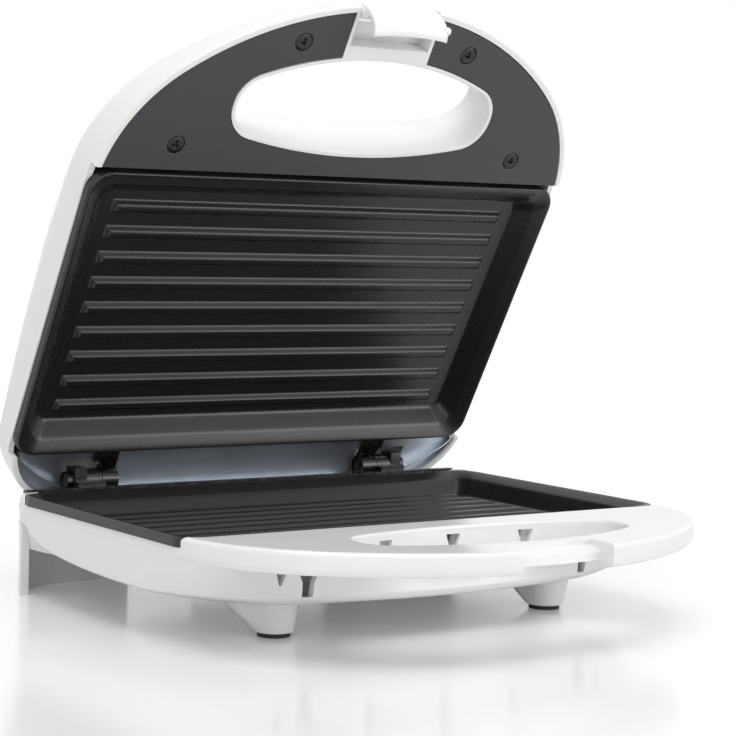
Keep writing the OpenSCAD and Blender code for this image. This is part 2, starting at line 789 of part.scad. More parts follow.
// A box under the rear deck that brings the cord in
module cord_housing() {
    color([0.93, 0.93, 0.93]) base_frame() difference() {
        union() {
            box(-housing_x, housing_x, plate_w - 12, rear_y - base_step, -tub_depth, housing_top);
            box(-housing_x, housing_x, deck_y, rear_y - base_step, -tub_depth, housing_top + over);
            intersection() {
                moulding();
                box(-housing_x, housing_x, deck_y, far, housing_top, far);
            }
        }
        box(shell_wall - housing_x, housing_x - shell_wall, -far, rear_y - base_step - shell_wall,
            floor_z, housing_top - 0.1);
        box(shell_wall - housing_x, housing_x - shell_wall, -far, deck_y - 0.5, floor_z, far);
        translate([0, rear_y, gland_z]) rotate([90, 0, 0])
            cylinder(h = 20, r = gland_r, center = true, $fn = 48);
    }
}

module front_pad(side) {
    color([0.05, 0.05, 0.05]) base_frame() translate([side * foot_x, foot_y, -stand_h]) {
        cylinder(h = pad_h, r = pad_d / 2, $fn = 48);
        cylinder(h = pad_h + 1.8, r = pad_d / 2 - 2.3, $fn = 48);
    }
}

module front_pad_left() { front_pad(-1); }
module front_pad_right() { front_pad(1); }

// ---------- hinges ----------

rail_y = plate_w + 3;
rail_w = 3;
rail_half = plate_l / 2 - 5.2;
rail_screws = [30, rail_half - 9];
rail_screw_z = -5.5;
lug_l = 5;
pin_head = 2.6;
bracket_screws = [knuckle_x + 3.4, knuckle_x + 9.2];
bracket_screw_y = hinge_y + 3;
arm_screw_x = knuckle_x - 3;
arm_screw_y = hinge_y - 8.2;
arm_n = 2.8;

module hinge_rail() {
    color([0.08, 0.08, 0.08]) base_frame() difference() {
        box(-rail_half, rail_half, rail_y, rail_y + rail_w, -deck_drop, 0.3);
        both_sides() for (x = rail_screws) translate([x, rail_y - over, rail_screw_z])
            rotate([-90, 0, 0]) cylinder(h = 10, r = 1.4, $fn = 32);
    }
}

module rail_screws() {
    color([0.3, 0.3, 0.32]) base_frame() both_sides() for (x = rail_screws)
        translate([x, rail_y + rail_w + 1.2, rail_screw_z]) rotate([90, 0, 0]) {
            cylinder(h = 1.2, r = 2.4, $fn = 32);
            cylinder(h = 1.2 + rail_w + 3.5, r = 1.1, $fn = 32);
        }
}

// The bracket's leg stands on the deck behind the rail, in front of the path of the lid's rear
// wall, and carries the knuckle and lug that hold the pin
module hinge_bracket(side) {
    x0 = knuckle_x + 0.15;
    x1 = knuckle_x + knuckle_l;
    x2 = x1 + lug_l;
    r = knuckle_d / 2;
    leg_y = rail_y + rail_w + part_gap;
    color([0.1, 0.1, 0.1]) base_frame() scale([side, 1, 1]) difference() {
        union() {
            along_x(x0, x2, r, hinge_y, hinge_up, 64);
            box(x1, x2, hinge_y - r - 0.2, hinge_y + 3, hinge_up, hinge_up + 5.6);
            box(x0, x2, leg_y, leg_y + 4.3, -deck_drop, hinge_up);
            box(x0, x2, leg_y, hinge_y - 1, hinge_up - r, hinge_up - 1);
            box(x0, x2, leg_y, bracket_screw_y + 3, -deck_drop, -deck_drop + 2);
        }
        along_x(0, plate_l / 2, pin_d / 2, hinge_y, hinge_up, 64);
        for (x = bracket_screws) post(x, bracket_screw_y, -far, 0, 1.4, 32);
    }
}

module hinge_bracket_left() { hinge_bracket(-1); }
module hinge_bracket_right() { hinge_bracket(1); }

module hinge_bracket_screws() {
    color([0.3, 0.3, 0.32]) base_frame() both_sides() for (x = bracket_screws) {
        post(x, bracket_screw_y, -deck_drop - 2, -deck_drop + 2, 1.1, 24);
        post(x, bracket_screw_y, -deck_drop + 2, -deck_drop + 2.6, 2, 24);
    }
}

module hinge_pin(side) {
    x1 = knuckle_x + knuckle_l + lug_l;
    color([0.35, 0.35, 0.37]) base_frame() scale([side, 1, 1]) {
        along_x(knuckle_x - knuckle_l - 0.6, x1, pin_d / 2, hinge_y, hinge_up, 64);
        along_x(x1, x1 + pin_head, knuckle_d / 2 - 0.9, hinge_y, hinge_up, 48);
    }
}

module hinge_pin_left() { hinge_pin(-1); }
module hinge_pin_right() { hinge_pin(1); }

module hinge_arm(side) {
    r = knuckle_d / 2;
    x0 = knuckle_x - knuckle_l;
    axis_n = hinge_up - closed_gap;
    color([0.09, 0.09, 0.09]) lid_frame() scale([side, 1, 1]) difference() {
        union() {
            along_x(x0, knuckle_x - 0.15, r, hinge_y, axis_n, 64);
            box(x0, knuckle_x + 3, arm_screw_y - 5, arm_screw_y + 0.3, arm_n, apron_floor);
            box(x0, knuckle_x - 0.15, arm_screw_y, hinge_y - 1, arm_n, apron_floor);
            box(x0, knuckle_x - 0.15, hinge_y - r - 0.4, hinge_y, arm_n, apron_floor + 0.6);
        }
        along_x(0, plate_l / 2, pin_d / 2 + pin_fit, hinge_y, axis_n, 64);
        post(arm_screw_x, arm_screw_y, -far, far, screw_d / 2 + 0.2, 32);
    }
}

module hinge_arm_left() { hinge_arm(-1); }
module hinge_arm_right() { hinge_arm(1); }

module hinge_arm_screws() {
    color([0.3, 0.3, 0.32]) lid_frame() both_sides()
        translate([arm_screw_x, arm_screw_y, arm_n - 1.6]) screw(3, 1.6, 7);
}

// ---------- lid shell ----------

liner_spots = [[38.5, 17.9 - handle_reach], [plate_l / 2 - 30.7, 63 - handle_reach]];
lamp_spots = [-9, 9];
lamp_y = -2;
lamp_top = crown(lamp_y);
carrier_top = lamp_top - shell_wall - 2.6;

module lid_ribs() {
    // Stiffening ribs across the crown and the posts of the screws
    for (x = [-88, -52, 52, 88]) hull() {
        post(x, 24, sheet_z + 4, lid_h, 0.8, 8);
        post(x, 104, sheet_z + 4, lid_h, 0.8, 8);
    }
    for (y = [46, 82]) for (x = [-30, 30]) hull() {
        post(x - 18, y, sheet_z + 4, lid_h, 0.8, 8);
        post(x + 18, y, sheet_z + 4, lid_h, 0.8, 8);
    }
    for (b = boss_spots) post(b.x, b.y, sheet_z + sheet + 2, lid_h, 5);
    both_sides() {
        for (p = liner_spots) post(p.x, p.y, 3, lid_h, 3.6);
        post(arm_screw_x, arm_screw_y, apron_floor + sheet, lid_h, 4.2);
        box(latch_half, latch_half + 1.4, -far, notch_y + 1.4, 0, lid_h);
    }
    box(-latch_half - 1.4, latch_half + 1.4, notch_y, notch_y + 1.4, 0, lid_h);
    box(-latch_half - 1.4, latch_half + 1.4, notch_y, bar_w - handle_reach + 1, 0, shell_wall);
    slab(hole_outline(sleeve_wall), 0, lid_h);
}

module lid_shell() {
    color([0.94, 0.94, 0.94]) lid_frame() difference() {
        union() {
            difference() {
                loft(lid_rings(0));
                loft(lid_rings(shell_wall));
            }
            intersection() {
                loft(lid_rings(shell_wall / 2));
                lid_ribs();
            }
        }
        slab(hole_outline(), -over, far);
        box(-far, far, -1.9, plate_w + seat_gap, -far, skirt_h);
        box(-latch_half, latch_half, -far, ledge_y + 1, -far, far);
        along_x(-latch_half - far, latch_half + far, latch_pin_d / 2 + 0.1, latch_y, latch_n, 24);
        both_sides() {
            for (p = liner_spots) post(p.x, p.y, 0, 9, 1.5);
            post(arm_screw_x, arm_screw_y, 0, apron_floor + sheet + 8, screw_d / 2 + 0.1);
        }
        for (x = lamp_spots) post(x, lamp_y, 8, far, lamp_d / 2 + 0.15, 32);
        for (b = boss_spots) post(b.x, b.y, 0, sheet_z + sheet + 4.4, 3.4);
    }
}

// ---------- handle liner, lamps ----------

liner_n = 0.3;
liner_t = 2.6;

module handle_liner() {
    color([0.3, 0.29, 0.3]) lid_frame() difference() {
        translate([0, 0, liner_n]) linear_extrude(liner_t) difference() {
            intersection() {
                polygon(outline(lid_plan, shell_wall + 0.4));
                translate([-far, -far - 1.9]) square([2 * far, far]);
            }
            polygon(hole_outline(sleeve_wall + seat_gap));
            translate([-latch_half - 1.5, -far])
                square([2 * latch_half + 3, far + bar_w - handle_reach + 1]);
        }
        both_sides() for (p = liner_spots) {
            post(p.x, p.y, -over, liner_n + 1.5, liner_head_d / 2 + 0.15, 48);
            post(p.x, p.y, -over, far, 1.7, 32);
        }
    }
}

module liner_screws() {
    color([0.12, 0.12, 0.12]) lid_frame() both_sides() for (p = liner_spots) {
        post(p.x, p.y, liner_n + 0.3, liner_n + 1.5, liner_head_d / 2, 48);
        post(p.x, p.y, liner_n + 1.5, liner_n + 8, 1.4, 32);
    }
}

module lamp_lens(x) {
    lid_frame() post(x, lamp_y, carrier_top, lamp_top + 0.4, lamp_d / 2, 48);
}

module power_lens() { color([0.8, 0.1, 0.08]) lamp_lens(lamp_spots[0]); }
module ready_lens() { color([0.1, 0.6, 0.2]) lamp_lens(lamp_spots[1]); }

module lamp_carrier() {
    color([0.85, 0.85, 0.85]) lid_frame() {
        box(-16, 16, lamp_y - 6, lamp_y + 6, carrier_top - 1.6, carrier_top);
        for (x = lamp_spots) post(x, lamp_y, carrier_top - 7, carrier_top - 1.6, 2.4, 32);
    }
}

// ---------- latch ----------

module latch_pin() {
    color([0.6, 0.6, 0.62]) lid_frame()
        along_x(-latch_half - 1.3, latch_half + 1.3, latch_pin_d / 2, latch_y, latch_n, 48);
}

// The latch is a curled arm on a pin, bent to the front edge of the lid: its hook turns in under
// the ledge of the base
module latch() {
    r = front_r - 0.5;
    tip_r = front_cy - ledge_y + 0.5;
    pivot_r = front_cy - latch_y;
    curl = r - tip_r;
    boss_r = latch_pin_d / 2 + 1.4;
    color([0.95, 0.95, 0.95]) lid_frame() difference() {
        intersection() {
            union() {
                translate([0, front_cy, 0]) rotate([0, 0, -100])
                    rotate_extrude(angle = 20, $fn = 360) polygon(concat(
                        [for (i = [0:10]) [tip_r + curl * cos(9 * i), -latch_drop * sin(9 * i)]],
                        [for (i = [10:-1:0]) [tip_r + (curl - latch_wall) * cos(9 * i),
                            (0.8 * latch_wall - latch_drop) * sin(9 * i)]],
                        [[pivot_r, 0], [pivot_r, latch_n + boss_r], [r - 1.9, latch_n + 1.9],
                            [r - 0.5, latch_n + 1], [r, latch_n]]));
                along_x(-latch_w / 2, latch_w / 2, boss_r, latch_y, latch_n, 48);
            }
            box(-latch_w / 2, latch_w / 2, -far, far, -far, far);
        }
        along_x(-far, far, latch_pin_d / 2 + pin_fit, latch_y, latch_n, 48);
    }
}

base_shell();
handle_bar();
cord_housing();
rear_leg_left();
rear_leg_right();
front_foot_left();
front_foot_right();
base_plate();
base_heater();
base_reflector();
base_screws();
thermostat();
thermal_fuse();
terminal_block();
cord_gland();
hinge_rail();
rail_screws();
hinge_bracket_left();
hinge_bracket_right();
hinge_bracket_screws();
hinge_pin_left();
hinge_pin_right();
front_pad_left();
front_pad_right();
lid_shell();
handle_liner();
liner_screws();
lid_plate();
lid_heater();
lid_reflector();
lid_plate_screws();
hinge_arm_left();
hinge_arm_right();
hinge_arm_screws();
power_lens();
ready_lens();
lamp_carrier();
latch_pin();
latch();
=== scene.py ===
import bpy
import bmesh
import json
import math
from mathutils import Matrix, Vector


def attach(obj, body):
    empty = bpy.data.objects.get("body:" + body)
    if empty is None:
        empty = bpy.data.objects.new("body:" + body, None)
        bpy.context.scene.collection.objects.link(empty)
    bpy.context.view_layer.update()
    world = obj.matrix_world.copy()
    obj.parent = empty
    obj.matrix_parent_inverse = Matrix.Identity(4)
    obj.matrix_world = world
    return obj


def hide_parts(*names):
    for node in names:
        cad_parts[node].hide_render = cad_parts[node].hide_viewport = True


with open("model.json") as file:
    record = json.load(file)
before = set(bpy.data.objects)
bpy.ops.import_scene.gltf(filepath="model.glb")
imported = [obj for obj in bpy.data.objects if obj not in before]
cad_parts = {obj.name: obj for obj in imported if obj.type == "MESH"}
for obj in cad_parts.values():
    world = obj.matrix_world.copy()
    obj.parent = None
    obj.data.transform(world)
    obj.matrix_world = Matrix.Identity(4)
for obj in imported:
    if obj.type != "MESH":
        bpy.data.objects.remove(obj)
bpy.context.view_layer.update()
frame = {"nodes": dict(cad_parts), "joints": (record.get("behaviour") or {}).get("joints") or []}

# ---------- Bench and camera ----------
# The toaster stands open on a pale glossy bench. Lengths below are millimetres in the base's
# own frame: y = 0 is the front edge of the plates and z = 0 their rim.

MM = 0.001
HINGE_Y, HINGE_UP = 141.4, 2.0
OPEN_ANGLE = math.radians(60.7)
RIM_GAP = 0.4
hinge_at = Vector(frame["joints"][0]["pos_m"])


def base_place(x, y, z):
    """A point of the base's own frame, in metres of the shared frame."""
    return Vector((x * MM, hinge_at.y + (y - HINGE_Y) * MM, hinge_at.z + (z - HINGE_UP) * MM))


def lid_place(x, y, z):
    """A point given on the closed lid, where the open lid has it."""
    dy, dz = y - HINGE_Y, z + RIM_GAP - HINGE_UP
    c, s = math.cos(OPEN_ANGLE), math.sin(OPEN_ANGLE)
    return base_place(x, HINGE_Y + dy * c + dz * s, HINGE_UP - dy * s + dz * c)


yaw, pitch, roll = 0.6185540348, -0.0697235127, 0.0296161093
view = Vector((math.sin(yaw) * math.cos(pitch), math.cos(yaw) * math.cos(pitch), math.sin(pitch)))
level = Vector((math.cos(yaw), -math.sin(yaw), 0))
upright = level.cross(view)
right = math.cos(roll) * level + math.sin(roll) * upright
above = math.cos(roll) * upright - math.sin(roll) * level
camera_data = bpy.data.cameras.new("camera")
camera_data.lens = 106.65
camera_data.sensor_width = 36
camera_data.clip_end = 50
camera = bpy.data.objects.new("camera", camera_data)
turn = Matrix((right, above, -view)).transposed().to_4x4()
camera.matrix_world = Matrix.Translation(base_place(-488.132, -635.424, 111.515)) @ turn
bpy.context.scene.collection.objects.link(camera)
bpy.context.scene.camera = camera
bpy.context.scene.view_settings.view_transform = "Standard"


class Value:
    """A shader socket that sums and products can be written with."""

    def __init__(self, tree, socket):
        self.tree, self.socket = tree, socket

    def node(self, kind, settings=None, sockets=None, out=0):
        made = self.tree.nodes.new(kind)
        for key, setting in (settings or {}).items():
            setattr(made, key, setting)
        for key, given in (sockets or {}).items():
            if isinstance(given, Value):
                self.tree.links.new(given.socket, made.inputs[key])
            else:
                made.inputs[key].default_value = given
        return Value(self.tree, made.outputs[out])

    def math(self, operation, first, second):
        return self.node("ShaderNodeMath", {"operation": operation}, {0: first, 1: second})

    def __add__(self, other):
        return self.math("ADD", self, other)

    def __mul__(self, other):
        return self.math("MULTIPLY", self, other)

    __radd__, __rmul__ = __add__, __mul__

    def blend(self, first, second):
        """Two colours mixed by this value."""
        return self.node("ShaderNodeMix", {"data_type": "RGBA"},
                         {0: self, 6: first, 7: second}, out=2)


def new_finish(name, **fixed):
    """A material, its shader and the object's own coordinates."""
    made = bpy.data.materials.new(name)
    made.use_nodes = True
    shader = made.node_tree.nodes["Principled BSDF"]
    for key, amount in fixed.items():
        shader.inputs[key.replace("_", " ").title()].default_value = amount
    tree = made.node_tree
    place = tree.nodes.new("ShaderNodeTexCoord")
    return made, shader, Value(tree, place.outputs["Object"])


def grain(place, scale, detail=2.0, rough=0.5):
    """Noise over an object."""
    return place.node("ShaderNodeTexNoise", {}, {
        "Vector": place, "Scale": scale, "Detail": detail, "Roughness": rough})


def feed(shader, **links):
    """Link values to a shader's inputs."""
    for key, given in links.items():
        given.tree.links.new(given.socket, shader.inputs[key.replace("_", " ").title()])


def bumped(height, strength, depth):
    """A normal with fine relief."""
    return height.node("ShaderNodeBump", {}, {
        "Strength": strength, "Distance": depth, "Height": height})


floor_mesh = bpy.data.meshes.new("bench")
reach = 6.0
floor_mesh.from_pydata([(-reach, -reach, 0), (reach, -reach, 0), (reach, reach, 0), (-reach, reach, 0)],
                       [], [(0, 1, 2, 3)])
bench = bpy.data.objects.new("bench", floor_mesh)
bpy.context.scene.collection.objects.link(bench)
bench_finish, shader, place = new_finish("bench_white", base_color=(0.88, 0.88, 0.88, 1), roughness=0.4,
                                         coat_weight=0.8, coat_roughness=0.14, emission_strength=1.0)
far_off = place.node("ShaderNodeVectorMath", {"operation": "LENGTH"}, {0: place}, out="Value")
glow = far_off.node("ShaderNodeMapRange", {}, {"Value": far_off, "From Min": 0.3, "From Max": 1.1,
                                               "To Min": 0.1, "To Max": 0.6})
feed(shader, emission_color=place.node("ShaderNodeLightPath", out="Is Camera Ray") * glow)
bench.data.materials.append(bench_finish)

world = bpy.data.worlds.new("studio")
bpy.context.scene.world = world
world.use_nodes = True
room = world.node_tree.nodes["Background"]
room.inputs["Color"].default_value = (1, 1, 1, 1)
rays = world.node_tree.nodes.new("ShaderNodeLightPath")
seen = Value(world.node_tree, rays.outputs["Is Camera Ray"])
for kind in ("Is Glossy Ray", "Is Transmission Ray"):
    seen = seen.math("MAXIMUM", seen, Value(world.node_tree, rays.outputs[kind]))
world.node_tree.links.new((seen * 0.44 + 0.56).socket, room.inputs["Strength"])

# ---------- Base shell ----------
# One moulding in glossy white plastic: a tub under the plates, a band round them that runs out
# into the handle bar, two rear legs and two front feet. The plates, the hinge rail and the
# latch's ledge sit on it.

PLATE_L, PLATE_W = 220.0, 127.5
REACH, FRONT_R, CORNER_R = 75.3, 135.3, 66.7
REAR_Y, REAR_FLAT, REAR_R, REAR_FILLET = 152.0, 160.0, 31.0, 14.0
LID_HALF, STEP = 110.6, 1.3
STAND, WALL, DECK = 40.2, 2.4, 11.5
GAP = 0.3
FAR = 400.0
front_cy = FRONT_R - REACH


def arc(cx, cy, r, start, end, n, first=0):
    """Points of an arc in n steps, from step first on."""
    turns = [math.radians(start + (end - start) * i / n) for i in range(first, n + 1)]
    return [(cx + r * math.cos(a), cy + r * math.sin(a)) for a in turns]


def both_halves(half):
    """A ring from its right half, which starts and ends at x = 0."""
    return half + [(-x, y) for x, y in reversed(half[1:-1])]


def outline(plan, inset=0.0):
    """Front arc, front corners, straight sides and rounded rear corners, drawn in by inset."""
    side, front, front_r, corner_r, rear, flat, rear_r = plan
    fy = front + front_r
    cx = side - corner_r
    cy = fy - math.sqrt((front_r - corner_r) ** 2 - cx * cx)
    turn_front = math.degrees(math.atan2(cy - fy, cx))
    qx, qy = flat / 2, rear - rear_r
    lx = side - REAR_FILLET
    ly = qy + math.sqrt((rear_r - REAR_FILLET) ** 2 - (lx - qx) ** 2)
    turn_rear = math.degrees(math.atan2(ly - qy, lx - qx))
    return both_halves(
        arc(0, fy, front_r - inset, -90, turn_front, 36)
        + arc(cx, cy, corner_r - inset, turn_front, 0, 30, 1)
        + [(side - inset, cy + (ly - cy) * i / 16) for i in range(1, 16)]
        + arc(lx, ly, REAR_FILLET - inset, 0, turn_rear, 10)
        + arc(qx, qy, rear_r - inset, turn_rear, 90, 20, 1)
        + [(flat / 2 * (1 - i / 8), rear - inset) for i in range(1, 9)])


def at_z(ring, z):
    """A flat ring at a height."""
    return [(x, y, z) for x, y in ring]


def loft(rings):
    """A closed solid through rings of points, the lowest first."""
    n, count = len(rings[0]), len(rings)
    faces = [tuple(range(n - 1, -1, -1)), tuple((count - 1) * n + i for i in range(n))]
    for k in range(count - 1):
        for i in range(n):
            j = (i + 1) % n
            faces.append((k * n + i, k * n + j, k * n + n + j, k * n + n + i))
    return [p for ring in rings for p in ring], faces


def slab(ring, low, high):
    """An upright solid over a flat ring."""
    return loft([at_z(ring, low), at_z(ring, high)])


def block(x0, x1, y0, y1, z0, z1):
    return slab([(x0, y0), (x1, y0), (x1, y1), (x0, y1)], z0, z1)


def rod(start, end, radius, sides=40, radius_end=None):
    """A straight round bar, or a cone, between two points."""
    start, end = Vector(start), Vector(end)
    along = (end - start).normalized()
    across = along.orthogonal().normalized()
    up = along.cross(across)
    rings = []
    for centre, r in ((start, radius), (end, radius if radius_end is None else radius_end)):
        rings.append([tuple(centre + r * (math.cos(t) * across + math.sin(t) * up))
                      for t in (math.tau * i / sides for i in range(sides))])
    return loft(rings)


def flipped(shape):
    """The same shape with its faces turned round."""
    return shape[0], [tuple(reversed(f)) for f in shape[1]]


def ring_area(ring):
    """Twice the area of a ring (a, b), negative where it runs clockwise."""
    return sum(a * d - c * b for (a, b), (c, d) in zip(ring, ring[1:] + ring[:1]))


def profile_x(points, x0, x1):
    """A solid with the outline (y, z) between two values of x."""
    made = loft([[(x, y, z) for y, z in points] for x in (x0, x1)])
    return made if ring_area(points) > 0 else flipped(made)


def mirrored(shape):
    """The same shape on the other side of x = 0."""
    points, faces = shape
    return flipped(([(-x, y, z) for x, y, z in points], faces))


def together(*shapes):
    """Several shapes as one, without joining them."""
    points, faces = [], []
    for more, more_faces in shapes:
        faces += [tuple(i + len(points) for i in f) for f in more_faces]
        points = points + list(more)
    return points, faces


def wrapped(points):
    """The tightest solid round a set of points."""
    cloud = bmesh.new()
    for p in points:
        cloud.verts.new(p)
    found = bmesh.ops.convex_hull(cloud, input=cloud.verts)
    spare = {v for v in found["geom_interior"] + found["geom_unused"]
             if isinstance(v, bmesh.types.BMVert)}
    bmesh.ops.delete(cloud, geom=list(spare), context="VERTS")
    bmesh.ops.recalc_face_normals(cloud, faces=cloud.faces)
    cloud.verts.index_update()
    made = [tuple(v.co) for v in cloud.verts], [tuple(v.index for v in f.verts) for f in cloud.faces]
    cloud.free()
    return made


def carve(start, *steps):
    """A solid after shapes are joined to it and cut from it, in order."""
    held = []
    for shape in [start] + [shape for how, shape in steps]:
        mesh = bpy.data.meshes.new("step")
        mesh.from_pydata(shape[0], [], shape[1])
        split = bmesh.new()
        split.from_mesh(mesh)
        bmesh.ops.triangulate(split, faces=split.faces)
        if split.calc_volume(signed=True) < 0:
            bmesh.ops.reverse_faces(split, faces=split.faces)
        split.to_mesh(mesh)
        split.free()
        held.append(bpy.data.objects.new("step", mesh))
        bpy.context.scene.collection.objects.link(held[-1])
    for (how, shape), tool in zip(steps, held[1:]):
        change = held[0].modifiers.new("step", "BOOLEAN")
        change.operation, change.solver, change.object = how, "MANIFOLD", tool
    bpy.context.view_layer.update()
    seen = held[0].evaluated_get(bpy.context.evaluated_depsgraph_get())
    mesh = bpy.data.meshes.new_from_object(seen)
    made = [tuple(v.co) for v in mesh.vertices], [tuple(f.vertices) for f in mesh.polygons]
    bpy.data.meshes.remove(mesh)
    for spare in held:
        data = spare.data
        bpy.data.objects.remove(spare)
        bpy.data.meshes.remove(data)
    return made


def finish_piece(name, mesh, finish, body, node=None, crease=32.0):
    """Shade a mesh, give it its material and let it stand for a solid of the frame."""
    piece = bpy.data.objects.new(name, mesh)
    bpy.context.scene.collection.objects.link(piece)
    mesh.shade_smooth()
    mesh.set_sharp_from_angle(angle=math.radians(crease))
    weighted = piece.modifiers.new("weighted", "WEIGHTED_NORMAL")
    weighted.keep_sharp = True
    weighted.weight = 60
    seen = piece.evaluated_get(bpy.context.evaluated_depsgraph_get())
    plain = bpy.data.meshes.new_from_object(seen)
    piece.modifiers.clear()
    piece.data = plain
    bpy.data.meshes.remove(mesh)
    plain.name = name
    plain.materials.clear()
    plain.materials.append(finish)
    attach(piece, body)
    if node:
        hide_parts(*([node] if isinstance(node, str) else node))
    return piece


def place_piece(name, shape, place, finish, body, node=None, crease=32.0):
    """Move a shape to its place, clean its mesh and finish it."""
    mesh = bpy.data.meshes.new(name + "_made")
    mesh.from_pydata([place(*p) for p in shape[0]], [], shape[1])
    made = bmesh.new()
    made.from_mesh(mesh)
    bmesh.ops.remove_doubles(made, verts=made.verts, dist=2e-6)
    bmesh.ops.dissolve_degenerate(made, edges=made.edges, dist=2e-6)
    bmesh.ops.triangulate(made, faces=[f for f in made.faces if len(f.verts) > 4])
    made.to_mesh(mesh)
    made.free()
    return finish_piece(name, mesh, finish, body, node, crease)


# Each plan gives the side, the front, the radii of the front arc and the front corners, the rear,
# the width of its straight middle and the radius of the rear corners.
lid_plan = (LID_HALF, -REACH, FRONT_R, CORNER_R, REAR_Y, REAR_FLAT, REAR_R)
base_plan = (LID_HALF - STEP, STEP - REACH, FRONT_R - STEP, CORNER_R - STEP, REAR_Y - STEP, REAR_FLAT,
             REAR_R - STEP)
tub_plan = (LID_HALF - STEP, -9.8, 700, 18, REAR_Y - STEP, REAR_FLAT, REAR_R - STEP)
edge_plan = (LID_HALF - STEP, -13.8, 280, 42, REAR_Y - STEP, REAR_FLAT, REAR_R - STEP)
floor_plan = (LID_HALF - STEP - 11.3, -14.8, 280, 45, PLATE_W - 7.5, 120, 62)
TUB, SIDE, CREASE, SKIRT = 26.0, 23.8, -9.0, 4.0
ROLL = 1.4
ARCH_START, ARCH_LENGTH, ARCH_RISE = 49, 75.5, 10.7


def side_edge(y):
    """Lower edge of the walls: it arches up to the rear legs and meets the floor in front."""
    if y > PLATE_W + 2:
        return ROLL - SIDE
    if y > ARCH_START:
        t = min((y - ARCH_START) / ARCH_LENGTH, 1)
        return ARCH_RISE * (0.53 * t ** 2.2 + 0.47 * t ** 12) - SIDE
    side = 1.7 * ((ARCH_START - y) / ARCH_START) ** 2 - SIDE
    turn = min(max((20 - y) / 32, 0), 1)
    return side + (ROLL - TUB - side) * turn * turn * (3 - 2 * turn)


def edge_ring(inset, drop):
    """A ring that follows the lower edge of the walls."""
    return [(x, y, max(side_edge(y), ROLL - TUB) + drop) for x, y in outline(edge_plan, inset)]


def between(low, high, share):
    """A ring part of the way from one ring to another."""
    return [tuple(a + (b - a) * share for a, b in zip(p, q)) for p, q in zip(low, high)]


def turned(low, bend, high, t):
    """A ring on the curve that turns a wall under, from the floor's ring to the wall's."""
    weights = (1 - t) ** 2, 2 * t * (1 - t), t * t
    return [tuple(sum(w * q for w, q in zip(weights, point)) for point in zip(*three))
            for three in zip(low, bend, high)]


turn_rings = at_z(outline(floor_plan, 5), -TUB), edge_ring(0.9, -0.3), edge_ring(0.6, 2)
upper = at_z(outline(tub_plan, 0.3), CREASE)
tub_outer = ([turn_rings[0]]
             + [turned(*turn_rings, t) for t in (0.12, 0.25, 0.38, 0.5, 0.62, 0.75, 0.87)]
             + [between(turn_rings[2], upper, share) for share in (0, 0.3, 0.6)]
             + [upper, at_z(outline(tub_plan, 0.3), -SKIRT - 2)])
tub_inner = [at_z(outline(floor_plan, 6.5), WALL - TUB), at_z(outline(floor_plan, 4), WALL + 1 - TUB),
             edge_ring(1.2 + WALL, WALL), at_z(outline(tub_plan, WALL + 0.3), CREASE + 1),
             at_z(outline(tub_plan, WALL + 0.3), 1)]
BAR = 8.5
bar_outer = [at_z(outline(base_plan, inset), z) for inset, z in (
    (2.2, -BAR), (1.3, 0.12 - BAR), (0.7, 0.5 - BAR), (0.35, 1.1 - BAR), (0.1, 1.9 - BAR), (0, 3 - BAR),
    (0, -1.9), (0.12, -1.2), (0.45, -0.6), (1.0, -0.18), (1.7, 0))]
BAR_W, SLEEVE = 22.0, 1.6
HOLE_R, HOLE_L, HOLE_CORNER = 132.0, 117.6, 11.7
BEHIND, BEHIND_R = 12.5, 221.0


def hole_ring(grow=0.0, back=0.0):
    """The hole through the handle: arcs in front, which may lie further back, and behind."""
    fy, by = BAR_W + back - REACH + HOLE_R, -BEHIND - BEHIND_R
    cx = HOLE_L / 2 - HOLE_CORNER
    cy = fy - math.sqrt((HOLE_R - HOLE_CORNER) ** 2 - cx * cx)
    ey = by + math.sqrt((BEHIND_R - HOLE_CORNER) ** 2 - cx * cx)
    turn_front = math.degrees(math.atan2(cy - fy, cx))
    turn_back = math.degrees(math.atan2(ey - by, cx))
    return both_halves(
        arc(0, fy, HOLE_R + grow, -90, turn_front, 30)
        + arc(cx, cy, HOLE_CORNER + grow, turn_front, 0, 12, 1)
        + arc(cx, ey, HOLE_CORNER + grow, 0, turn_back, 12)
        + arc(0, by, BEHIND_R + grow, turn_back, 90, 20, 1))


def plate_ring(inset):
    """The plates' outline with rounded corners, drawn in by inset."""
    r = max(9 - 0.35 * inset, 4)
    hx, y0, y1 = PLATE_L / 2 - inset, inset, PLATE_W - inset
    return (arc(hx - r, y0 + r, r, -90, 0, 12) + arc(hx - r, y1 - r, r, 0, 90, 12)
            + arc(r - hx, y1 - r, r, 90, 180, 12) + arc(r - hx, y0 + r, r, 180, 270, 12))


NOTCH_HALF, LEDGE_Y, NOTCH_Y = 19.8, 7.9 - REACH, 15.7 - REACH
shell = carve(
    loft(tub_outer),
    ("UNION", carve(
        loft(bar_outer),
        ("DIFFERENCE", carve(
            slab(outline(base_plan, WALL + 0.1), -FAR, -WALL),
            ("DIFFERENCE", slab(outline(tub_plan, 0.5), -FAR - 1, FAR)),
            ("DIFFERENCE", slab(hole_ring(SLEEVE), -FAR - 1, FAR)),
            ("DIFFERENCE", block(-FAR, FAR, -WALL - GAP, FAR, -FAR - 1, FAR)))))),
)
RIB_R = 0.8
for angle in (14, 22, 32, 42):
    a = math.radians(angle)
    rib = wrapped([
        (r * math.sin(a) + RIB_R * math.cos(t), front_cy - r * math.cos(a) + RIB_R * math.sin(t), z)
        for r in (FRONT_R - STEP - 1.5, FRONT_R - BAR_W + 1) for z in (2.6 - BAR, -0.8)
        for t in (math.tau * i / 12 for i in range(12))])
    shell = carve(shell, ("UNION", rib), ("UNION", mirrored(rib)))
HOUSING, SEAT_LOW = 17, -3.8
